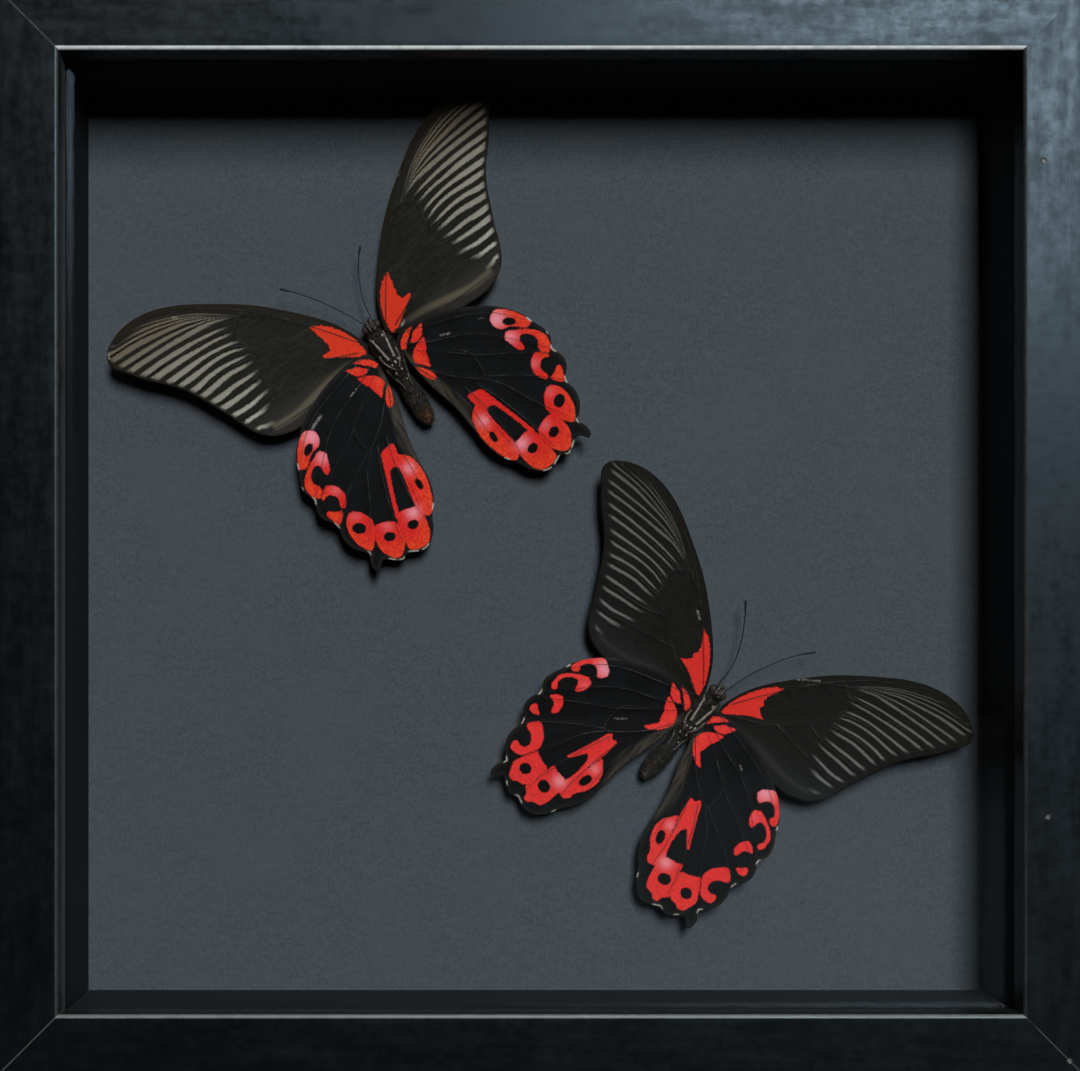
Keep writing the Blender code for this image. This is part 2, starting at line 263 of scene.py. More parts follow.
def useGroup(tree, name, inputs):
    node = tree.nodes.new("ShaderNodeGroup")
    node.node_tree = bpy.data.node_groups[name]
    for key, value in inputs.items():
        if isinstance(value, bpy.types.NodeSocket):
            tree.links.new(value, node.inputs[key])
        else:
            node.inputs[key].default_value = value
    return node.outputs


def newMaterial(name, **plain):
    # a Principled material; plain holds the values that are the same all over
    material = bpy.data.materials.new(name)
    material.use_nodes = True
    tree = material.node_tree
    shader = tree.nodes["Principled BSDF"]
    for label, value in plain.items():
        key = label.replace("_", " ")
        shader.inputs[key].default_value = (*value, 1.0) if isinstance(value, tuple) else value
    return material, tree, shader


def bump(tree, height, distance, strength=1.0):
    inputs = {"Height": height, "Distance": distance, "Strength": strength}
    return add(tree, "ShaderNodeBump", inputs).outputs[0]


def wire(tree, shader, **varied):
    # what changes over the surface goes to the shader's sockets
    for label, value in varied.items():
        tree.links.new(value, shader.inputs[label.replace("_", " ")])


def objectPlace(tree):
    return add(tree, "ShaderNodeTexCoord").outputs["Object"]


def buildSpecks():
    # sparse round specks: dust, paper flecks, chips
    group, given, result = newGroup(
        "specks",
        [("Vector", "Vector", None), ("Cells per metre", "Float", 90.0), ("Size", "Float", 0.02),
         ("Share", "Float", 0.5)],
        [("Mask", "Float")],
    )
    inputs = {"Vector": given.outputs[0], "Scale": given.outputs[1], "Randomness": 1.0}
    cells = add(group, "ShaderNodeTexVoronoi", inputs)
    split = add(group, "ShaderNodeSeparateColor", {0: cells.outputs["Color"]})
    size = times(group, given.outputs[2], split.outputs[1])
    near = calc(group, "LESS_THAN", cells.outputs["Distance"], size)
    chosen = calc(group, "LESS_THAN", split.outputs[0], given.outputs[3])
    mask = times(group, near, chosen)
    group.links.new(mask, result.inputs[0])


def buildMottle():
    # soft cloudy variation at two sizes, and a fine grain
    group, given, result = newGroup(
        "mottle",
        [("Vector", "Vector", None), ("Coarse", "Float", 40.0), ("Fine", "Float", 900.0)],
        [("Cloud", "Float"), ("Grain", "Float")],
    )
    coarse = grains(group, given.outputs[0], given.outputs[1], 3.0)
    fine = grains(group, given.outputs[0], given.outputs[2], 4.0, 0.6)
    group.links.new(coarse, result.inputs[0])
    group.links.new(fine, result.inputs[1])


def buildScaleRows():
    # rows of tiny wing scales: a rippled height and a slight change of shade from scale to scale
    group, given, result = newGroup(
        "scaleRows",
        [("Vector", "Vector", None), ("Rows", "Float", 9000.0)],
        [("Height", "Float"), ("Shade", "Float")],
    )
    inputs = {"Vector": given.outputs[0], "Scale": given.outputs[1], "Randomness": 0.55}
    cells = add(group, "ShaderNodeTexVoronoi", inputs)
    split = add(group, "ShaderNodeSeparateColor", {0: cells.outputs["Color"]})
    patches = grains(group, given.outputs[0], 700.0, 4.0, 0.65)
    mixed = plus(group, times(group, split.outputs[0], 0.45), times(group, patches, 0.9))
    group.links.new(cells.outputs["Distance"], result.inputs[0])
    group.links.new(mixed, result.inputs[1])


buildSpecks()
buildMottle()
buildScaleRows()
print("shader groups ready")


# box frame

rails = {
    "fit": 0.3 * mm,  # gap that the CAD keeps between pieces
    "mitreGap": 0.03 * mm,  # what is left open at a mitre
    "outerRound": 1.2 * mm,
    "innerRound": 0.9 * mm,
    "roundSteps": 7,
    "steps": 60,  # along a rail
    "faceSteps": 8,  # across its face
    "wave": 0.03 * mm,  # unevenness of the face
    "colour": (0.0014, 0.0017, 0.0021),
    # how pale the painted highlight on each front and back inner edge is, by how the light falls on that side
    "arris": {"top": 1.0, "bottom": 0.21, "left": 0.045, "right": 0.028},
    "backArrisHighlight": {"top": 0.0, "bottom": 0.03, "left": 0.18, "right": 0.0},
    # side, along, inset
    "nicks": [("right", 0.086, 0.0105), ("right", -0.066, 0.0095), ("bottom", 0.1225, 0.0045)],
    "mitreWear": (0.16, 0.17, 0.17),
    "dust": (0.30, 0.31, 0.31),
    "arrisHighlightTint": (0.86, 0.94, 0.97),
    "nickTint": (0.20, 0.20, 0.19),
}
lipInset = railHigh.x - railLow.x
wallInset = linerLow.x - railLow.x - rails["fit"]
lipDepth = paneLow.y - faceY - rails["fit"]
frameDepth = cadHigh.y - cadLow.y
sides = ("bottom", "right", "top", "left")


def onSide(side, along, inset):
    out = half - inset
    x, z = {"bottom": (along, -out), "right": (out, along), "top": (-along, out),
            "left": (-out, -along)}[side]
    return x, middle.z + z


def corner(centre, radius, start, end, steps):
    angles = np.radians(np.linspace(start, end, steps + 1))
    return [(centre[0] + radius * math.cos(a), centre[1] + radius * math.sin(a)) for a in angles]


def railProfile():
    # (inset from the outside, depth behind the face), once round the rail
    outer, inner = rails["outerRound"], rails["innerRound"]
    line = corner((outer, outer), outer, 180, 270, rails["roundSteps"])
    face = np.linspace(outer, lipInset - inner, rails["faceSteps"] + 1)[1:-1]
    line += [(x, 0.0) for x in face]
    line += corner((lipInset - inner, inner), inner, 270, 360, rails["roundSteps"])
    line += [(lipInset, lipDepth - 0.15 * mm), (lipInset - 0.15 * mm, lipDepth), (wallInset, lipDepth)]
    line += [(wallInset, lipDepth + (frameDepth - lipDepth) * share) for share in (0.25, 0.5, 0.75)]
    line += [(wallInset, frameDepth), (0.4 * mm, frameDepth), (0.0, frameDepth - 0.4 * mm)]
    line += [(0.0, frameDepth * share) for share in (0.75, 0.5, 0.25)]
    return line


def railMesh(side):
    profile = railProfile()
    count = len(profile)
    points = []
    wearAndGlint = []
    paintedArrisHighlight = []
    rounding = rails["roundSteps"] + rails["faceSteps"]
    maps = []
    lengths = np.cumsum([0.0] + [math.dist(a, b) for a, b in zip(profile, profile[1:])])
    for step in range(rails["steps"] + 1):
        share = 2 * step / rails["steps"] - 1
        for ring, ((inset, depth), length) in enumerate(zip(profile, lengths)):
            reach = half - inset - rails["mitreGap"]
            along = share * reach
            x, z = onSide(side, along, inset)
            spot = Vector((x, faceY + depth, z))
            ease = min(1.0, (1 - abs(share)) * 12)
            sway = noise.noise(spot * 28) * rails["wave"] * ease
            inward = 1.0 if depth < lipDepth / 2 else 0.0
            spot.y += abs(sway) * inward
            points.append(spot)
            wearAndGlint.append(min(reach - abs(along), 0.01))
            maps.append((along, length))
            # rings on the rounded inner edge and on the lip's back edge carry the painted highlights
            front = rounding < ring < rounding + rails["roundSteps"]
            back = 0 < ring - rounding - rails["roundSteps"] < 3
            paintedArrisHighlight.append(rails["arris"][side] if front else rails["backArrisHighlight"][side] if back else 0.0)
    faces = [tuple(range(count)), tuple(range(rails["steps"] * count, (rails["steps"] + 1) * count))]
    for step in range(rails["steps"]):
        low, high = step * count, (step + 1) * count
        faces += [(low + k, low + (k + 1) % count, high + (k + 1) % count, high + k) for k in range(count)]
    mesh = meshFrom("rail_" + side, points, faces)
    mesh.set_sharp_from_angle(angle=math.radians(40))
    mesh.attributes.new("mitreAway", "FLOAT", "POINT").data.foreach_set("value", wearAndGlint)
    mesh.attributes.new("paintedArrisHighlight", "FLOAT", "POINT").data.foreach_set("value", paintedArrisHighlight)
    layer = mesh.uv_layers.new(name="alongRail")
    for loop in mesh.loops:
        layer.data[loop.index].uv = maps[loop.vertex_index]
    return mesh


def railMaterial():
    # black foil on wood: satin, faintly grained along the rail, paler where the mitre edges show
    material, tree, shader = newMaterial("railBlack", Specular_IOR_Level=0.5, IOR=1.5)
    along = add(tree, "ShaderNodeUVMap", uv_map="alongRail").outputs[0]
    place = objectPlace(tree)
    cloud, grain = useGroup(tree, "mottle", {"Vector": place, "Coarse": 38.0, "Fine": 420.0})
    streaks = grains(tree, along, 260.0, 5.0, 0.62, stretch=(0.16, 1.0, 1.0))
    dust = useGroup(tree, "specks", {"Vector": place, "Cells per metre": 105.0, "Size": 0.016,
                                     "Share": 0.10})[0]
    colour = tint(tree, ramp(tree, cloud, 0.3, 0.7), rails["colour"], shaded(rails["colour"], 1.7))
    edge = ramp(tree, attribute(tree, "mitreAway"), 0.00005, 0.0003, 1.0, 0.0)
    patchy = times(tree, edge, ramp(tree, grains(tree, place, 75.0), 0.45, 0.62))
    colour = laidOver(tree, colour, patchy, 0.5, rails["mitreWear"])
    colour = laidOver(tree, colour, dust, 0.35, rails["dust"])
    # painted highlights: the inner edges made paler where they catch the light
    arrisHighlightMask = times(tree, attribute(tree, "paintedArrisHighlight"), ramp(tree, grain, 0.25, 0.7, 0.7, 1.0))
    colour = tint(tree, arrisHighlightMask, colour, rails["arrisHighlightTint"])
    chips = 0.0
    for side, alongSide, inset in rails["nicks"]:
        x, z = onSide(side, alongSide, inset)
        away = add(tree, "ShaderNodeVectorMath", {0: place, 1: (x, faceY, z)},
                   operation="DISTANCE").outputs["Value"]
        ragged = plus(tree, away, times(tree, grains(tree, place, 1500.0), 0.0006))
        chips = calc(tree, "MAXIMUM", chips, ramp(tree, ragged, 0.0006, 0.0011, 1.0, 0.0))
    colour = laidOver(tree, colour, chips, 0.55, rails["nickTint"])
    rough = plus(tree, ramp(tree, grain, 0.25, 0.75, -0.05, 0.07), ramp(tree, streaks, 0.3, 0.7, 0.32, 0.44))
    height = plus(tree, times(tree, grain, 0.7), times(tree, streaks, 0.8))
    height = calc(tree, "SUBTRACT", height, times(tree, chips, 3.0))
    wire(tree, shader, Base_Color=colour, Roughness=rough, Normal=bump(tree, height, 0.00006, 0.8))
    return material


liner = {"dark": (0.017, 0.0185, 0.020), "pale": (0.024, 0.026, 0.028), "dust": (0.25, 0.26, 0.26)}


def linerMaterial():
    # matt black card
    material, tree, shader = newMaterial("linerCard", Specular_IOR_Level=0.12)
    place = objectPlace(tree)
    cloud, grain = useGroup(tree, "mottle", {"Vector": place, "Coarse": 60.0, "Fine": 1600.0})
    dust = useGroup(tree, "specks", {"Vector": place, "Cells per metre": 150.0, "Size": 0.02,
                                     "Share": 0.2})[0]
    colour = tint(tree, cloud, liner["dark"], liner["pale"])
    colour = laidOver(tree, colour, dust, 0.5, liner["dust"])
    wire(tree, shader, Base_Color=colour,
         Roughness=ramp(tree, grain, 0.3, 0.7, 0.62, 0.78),
         Normal=bump(tree, grain, 0.00008, 0.6))
    return material


board = {
    "dark": (0.054, 0.068, 0.083),
    "pale": (0.085, 0.104, 0.125),
    "warm": (0.083, 0.094, 0.104),
    "fleck": (0.42, 0.44, 0.45),
}


def boardMaterial():
    # slate grey paper: cloudy, finely fibrous, with a few pale flecks
    material, tree, shader = newMaterial("boardPaper", Specular_IOR_Level=0.2, Roughness=0.9)
    place = objectPlace(tree)
    cloud, grain = useGroup(tree, "mottle", {"Vector": place, "Coarse": 55.0, "Fine": 1500.0})
    fibres = grains(tree, place, 480.0, 5.0, 0.7, stretch=(1.0, 1.0, 3.2))
    across = grains(tree, place, 520.0, 5.0, 0.7, stretch=(3.0, 1.0, 1.0))
    flecks = useGroup(tree, "specks", {"Vector": place, "Cells per metre": 95.0, "Size": 0.034,
                                       "Share": 0.20})[0]
    tiny = useGroup(tree, "specks", {"Vector": place, "Cells per metre": 330.0, "Size": 0.05,
                                     "Share": 0.12})[0]
    weave = plus(tree, times(tree, fibres, 0.5), times(tree, across, 0.5))
    shade = plus(tree, times(tree, weave, 0.55), times(tree, grain, 0.45))
    colour = tint(tree, ramp(tree, shade, 0.36, 0.64), board["dark"], board["pale"])
    colour = laidOver(tree, colour, ramp(tree, cloud, 0.35, 0.68), 0.35, board["warm"])
    colour = laidOver(tree, colour, flecks, 0.30, board["fleck"])
    colour = laidOver(tree, colour, tiny, 0.16, board["fleck"])
    wire(tree, shader, Base_Color=colour, Normal=bump(tree, shade, 0.00014, 0.7))
    return material


def paneMaterial():
    # clear picture glass with a soft-reflection coating; lamps shine through it
    material, tree, shader = newMaterial(
        "paneGlass", Base_Color=(0.985, 0.995, 0.99), Roughness=0.0, IOR=1.45, Transmission_Weight=1.0,
        Specular_IOR_Level=0.5,
    )
    rays = add(tree, "ShaderNodeLightPath")
    clear = add(tree, "ShaderNodeBsdfTransparent")
    mixed = add(tree, "ShaderNodeMixShader", {
        0: rays.outputs["Is Shadow Ray"], 1: shader.outputs[0], 2: clear.outputs[0]})
    tree.links.new(mixed.outputs[0], tree.nodes["Material Output"].inputs["Surface"])
    return material


panel = {
    "dark": (0.115, 0.060, 0.032),
    "pale": (0.205, 0.118, 0.066),
    "speck": (0.055, 0.028, 0.016),
    "haze": (0.24, 0.15, 0.09),
}


def panelMaterial():
    # hardboard, smooth side out
    material, tree, shader = newMaterial("hardboard", Specular_IOR_Level=0.35)
    place = objectPlace(tree)
    cloud, grain = useGroup(tree, "mottle", {"Vector": place, "Coarse": 30.0, "Fine": 700.0})
    fibres = grains(tree, place, 300.0, 6.0, 0.7, stretch=(1.0, 1.0, 2.4))
    specks = useGroup(tree, "specks", {"Vector": place, "Cells per metre": 420.0, "Size": 0.16,
                                       "Share": 0.35})[0]
    colour = tint(tree, ramp(tree, fibres, 0.35, 0.65), panel["dark"], panel["pale"])
    colour = laidOver(tree, colour, specks, 0.5, panel["speck"])
    colour = laidOver(tree, colour, cloud, 0.3, panel["haze"])
    wire(tree, shader, Base_Color=colour,
         Roughness=ramp(tree, grain, 0.3, 0.7, 0.5, 0.68),
         Normal=bump(tree, fibres, 0.00005, 0.5))
    return material


metals = {  # dark tint, pale tint, roughness
    "zincSteel": ((0.42, 0.43, 0.43), (0.62, 0.62, 0.60), 0.34),
    "brassedSteel": ((0.46, 0.31, 0.12), (0.68, 0.50, 0.22), 0.30),
}


def metalMaterial(name):
    dark, pale, rough = metals[name]
    material, tree, shader = newMaterial(name, Metallic=1.0)
    place = objectPlace(tree)
    cloud, grain = useGroup(tree, "mottle", {"Vector": place, "Coarse": 260.0, "Fine": 2600.0})
    brushed = grains(tree, place, 1400.0, 4.0, 0.6, stretch=(0.12, 1.0, 1.0))
    colour = tint(tree, ramp(tree, cloud, 0.32, 0.68), dark, pale)
    wire(tree, shader, Base_Color=colour,
         Roughness=ramp(tree, grain, 0.3, 0.7, rough - 0.07, rough + 0.09),
         Normal=bump(tree, brushed, 0.00002, 0.5))
    return material


glue = {"dark": (0.50, 0.40, 0.22), "pale": (0.68, 0.60, 0.42)}


def glueMaterial():
    material, tree, shader = newMaterial("driedGlue", Roughness=0.25, Subsurface_Weight=0.3,
                                         Subsurface_Scale=0.001)
    cloud, grain = useGroup(tree, "mottle", {"Vector": objectPlace(tree), "Coarse": 500.0, "Fine": 2500.0})
    colour = tint(tree, cloud, glue["dark"], glue["pale"])
    wire(tree, shader, Base_Color=colour, Normal=bump(tree, cloud, 0.0002, 0.5))
    return material


def dressNode(name, material):
    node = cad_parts[name]
    node.data.materials.clear()
    node.data.materials.append(material)


railBlack = railMaterial()
for side in sides:
    newPiece("rail_" + side, railMesh(side), [railBlack], ["frame_rail_" + side])
linerCard = linerMaterial()
steelZinc = metalMaterial("zincSteel")
brassed = metalMaterial("brassedSteel")
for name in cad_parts:
    if name.startswith("liner_strip"):
        dressNode(name, linerCard)
    if name.startswith("retaining_tab") or name.startswith("hanger_pin"):
        dressNode(name, steelZinc)
dressNode("hanger_plate", brassed)
dressNode("mounting_board", boardMaterial())
dressNode("backing_panel", panelMaterial())
dressNode("glass_pane", paneMaterial())
glueAmber = glueMaterial()
print("box frame made")


# wings
# u goes out from the body and v towards the head, in millimetres, on a right-hand wing
# left wings are mirrored

forewing = {
    "hinge": (4.0, 6.0),
    "height": 4.6,  # above the board
    "outline": [
        (3.6, 5.0), (3.9, 8.5), (7.4, 15.0), (13.8, 22.0), (23.0, 30.0), (35.0, 37.5), (41.0, 40.2),
        (46.0, 41.4), (51.0, 41.4), (55.0, 40.3), (58.4, 38.2), (59.7, 36.0), (59.3, 33.7), (57.0, 30.8),
        (54.4, 27.5), (51.5, 24.6), (49.4, 22.4), (47.2, 19.6), (45.4, 16.6), (43.6, 13.0), (42.0, 10.0),
        (40.7, 7.0), (39.2, 3.8), (37.4, 1.0), (34.8, -1.1), (31.0, -2.4), (27.0, -2.6), (21.0, -1.8),
        (14.0, -0.4), (8.0, 1.8),
    ],
    "outerEdge": [(59.7, 36.0), (57.0, 30.8), (51.5, 24.6), (47.2, 19.6), (43.6, 13.0), (40.7, 7.0),
                  (37.4, 1.0)],
    "frontEdge": [(3.9, 8.5), (7.4, 15.0), (13.8, 22.0), (23.0, 30.0), (35.0, 37.5), (46.0, 41.3),
                  (55.0, 40.3)],
    "streakStart": [(37.5, -1.5), (34.6, 3.0), (32.0, 8.0), (30.6, 12.5), (30.2, 17.0), (30.4, 21.0),
                    (30.8, 25.0), (30.0, 28.5), (28.0, 31.0), (30.0, 36.0)],
    "band": [(6.5, 4.9), (10.0, 4.2), (15.0, 3.6), (20.0, 2.3), (27.0, 0.7), (33.0, 0.6)],  # a paler fold
    "veins": {
        "R1": [(16, 21.5), (26, 30.4), (36, 36.6), (46, 39.9)],
        "R3": [(24, 27.5), (33, 33), (38, 35.6), (42, 37.1), (48, 38.6), (56, 39.0)],
        "R4": [(26, 28.4), (31, 31.5), (36, 33.6), (40, 35), (50, 36.6), (58.8, 36.6)],
        "R5": [(26, 28.4), (30, 30.3), (34, 31.6), (40, 32.3), (48, 32.4), (57.6, 32.2)],
        "M1": [(27.4, 26.9), (29.5, 27.0), (36, 27.6), (46, 27.9), (54.4, 27.4)],
        "M2": [(29.5, 22), (32, 22.9), (36, 23.4), (40, 23.3), (46, 22.7), (49.5, 22.4)],
        "M3": [(28, 18.2), (32, 18.6), (36, 18.9), (40, 18.5), (44, 17.7), (46.4, 17.8)],
        "Cu1": [(24, 15.5), (28, 14), (32, 13.3), (36, 13.1), (40, 12.6), (43.4, 12.6)],
        "Cu2": [(17, 10.5), (22, 9.6), (27, 8.6), (32, 7.6), (36, 6.8), (40.6, 7)],
        "2A": [(5, 4.6), (12, 3), (20, 0.8), (28, 0.3), (34, 0.3), (37, 1.2)],
        "cellTop": [(5, 8), (10, 14.2), (18, 23.0), (26, 28.4)],
        "cellEnd": [(26, 28.4), (29.0, 26.2), (29.5, 22), (28, 18.2)],
        "cellBottom": [(6, 5.5), (14, 8.5), (18, 11), (22, 14), (25, 16.5), (28, 18.2)],
    },
    "fanVeins": ("R1", "R3", "R4", "R5", "M1", "M2", "M3", "Cu1", "Cu2", "2A"),  # streaks lie between these
}

hindwing = {
    "hinge": (4.0, 1.5),
    "height": 5.7,
    "outline": [
        (3.9, 3.4), (9.0, 4.4), (14.0, 3.5), (19.0, 1.9), (24.0, -0.5), (28.0, -3.1), (31.0, -6.0),
        (33.2, -9.0), (34.3, -11.8), (35.6, -14.6), (35.9, -17.2), (34.8, -19.7), (35.3, -21.2),
        (35.9, -23.4), (35.3, -25.6), (33.7, -27.5), (33.4, -29.2), (33.9, -31.8), (33.3, -34.6),
        (31.8, -36.8), (30.3, -38.2), (31.4, -40.4), (31.4, -42.6), (30.3, -43.3), (28.9, -41.7),
        (27.5, -41.7), (25.8, -43.0), (24.1, -43.9), (22.3, -43.1), (21.0, -43.6), (19.0, -44.5),
        (17.0, -44.3), (15.2, -43.2), (13.4, -41.1), (12.3, -38.8), (11.4, -37.6), (10.2, -36.2),
        (8.9, -33.6), (8.0, -30.4), (7.7, -26.0), (6.9, -19.5), (5.9, -15.5), (4.7, -11.5), (4.0, -7.5),
        (3.4, -2.0),
    ],
    "fold": [(3.0, 1.0), (5.2, -4.0), (6.4, -9.0), (8.6, -15.0), (9.6, -20.0), (8.8, -25.5), (7.4, -26.0),
             (5.5, -16.0), (3.6, -8.0), (3.0, -2.0)],
    "veins": {
        "costa": [(6, 3.6), (14, 1.2), (22, -1.6), (28, -5.2), (32.6, -10.2)],
        "Rs": [(5, 1), (12, -2.6), (18, -5), (24, -9), (33.6, -18.9)],
        "M1": [(12, -6.0), (19, -11.5), (25, -15), (33.2, -20.4)],
        "M2": [(17, -16.5), (25, -21.5), (30, -25.4), (33.3, -28.4)],
        "M3": [(16.5, -17), (20, -21), (24, -28.5), (27.6, -34.0), (30, -38)],
        "Cu1": [(14.5, -17), (17.5, -24), (20.4, -33), (22.4, -42.6)],
        "Cu2": [(11.4, -16), (13.0, -22), (14.2, -31.0), (14.3, -36), (13.6, -40.6)],
        "cell": [(4, -4), (8, -9.5), (12, -13.5), (17, -16.5), (17, -9.5), (12, -6.0), (6, -1.6)],
        "anal": [(4.4, -6), (6.8, -11), (9.6, -18), (10.2, -24), (10.4, -30)],
    },
    "baseRed": [
        [(3.3, 0.4), (4.5, 2.4), (6.5, 3.5), (9.0, 4.0), (7.0, 2.4), (5.4, 1.0), (4.4, -0.2)],
        [(6.2, 0.5), (8, 2.3), (11.3, 3.3), (10.4, 1.8), (9.6, 0.6), (8.4, 0.0), (6.9, 0.0)],
        [(9.8, 0), (9.3, -1.6), (8.2, -3.6), (7.6, -5.8), (7.1, -7.4), (5.8, -5.6), (4.5, -4.4),
         (4.6, -3.0), (5.8, -1.6), (7.6, -0.6)],
    ],
}

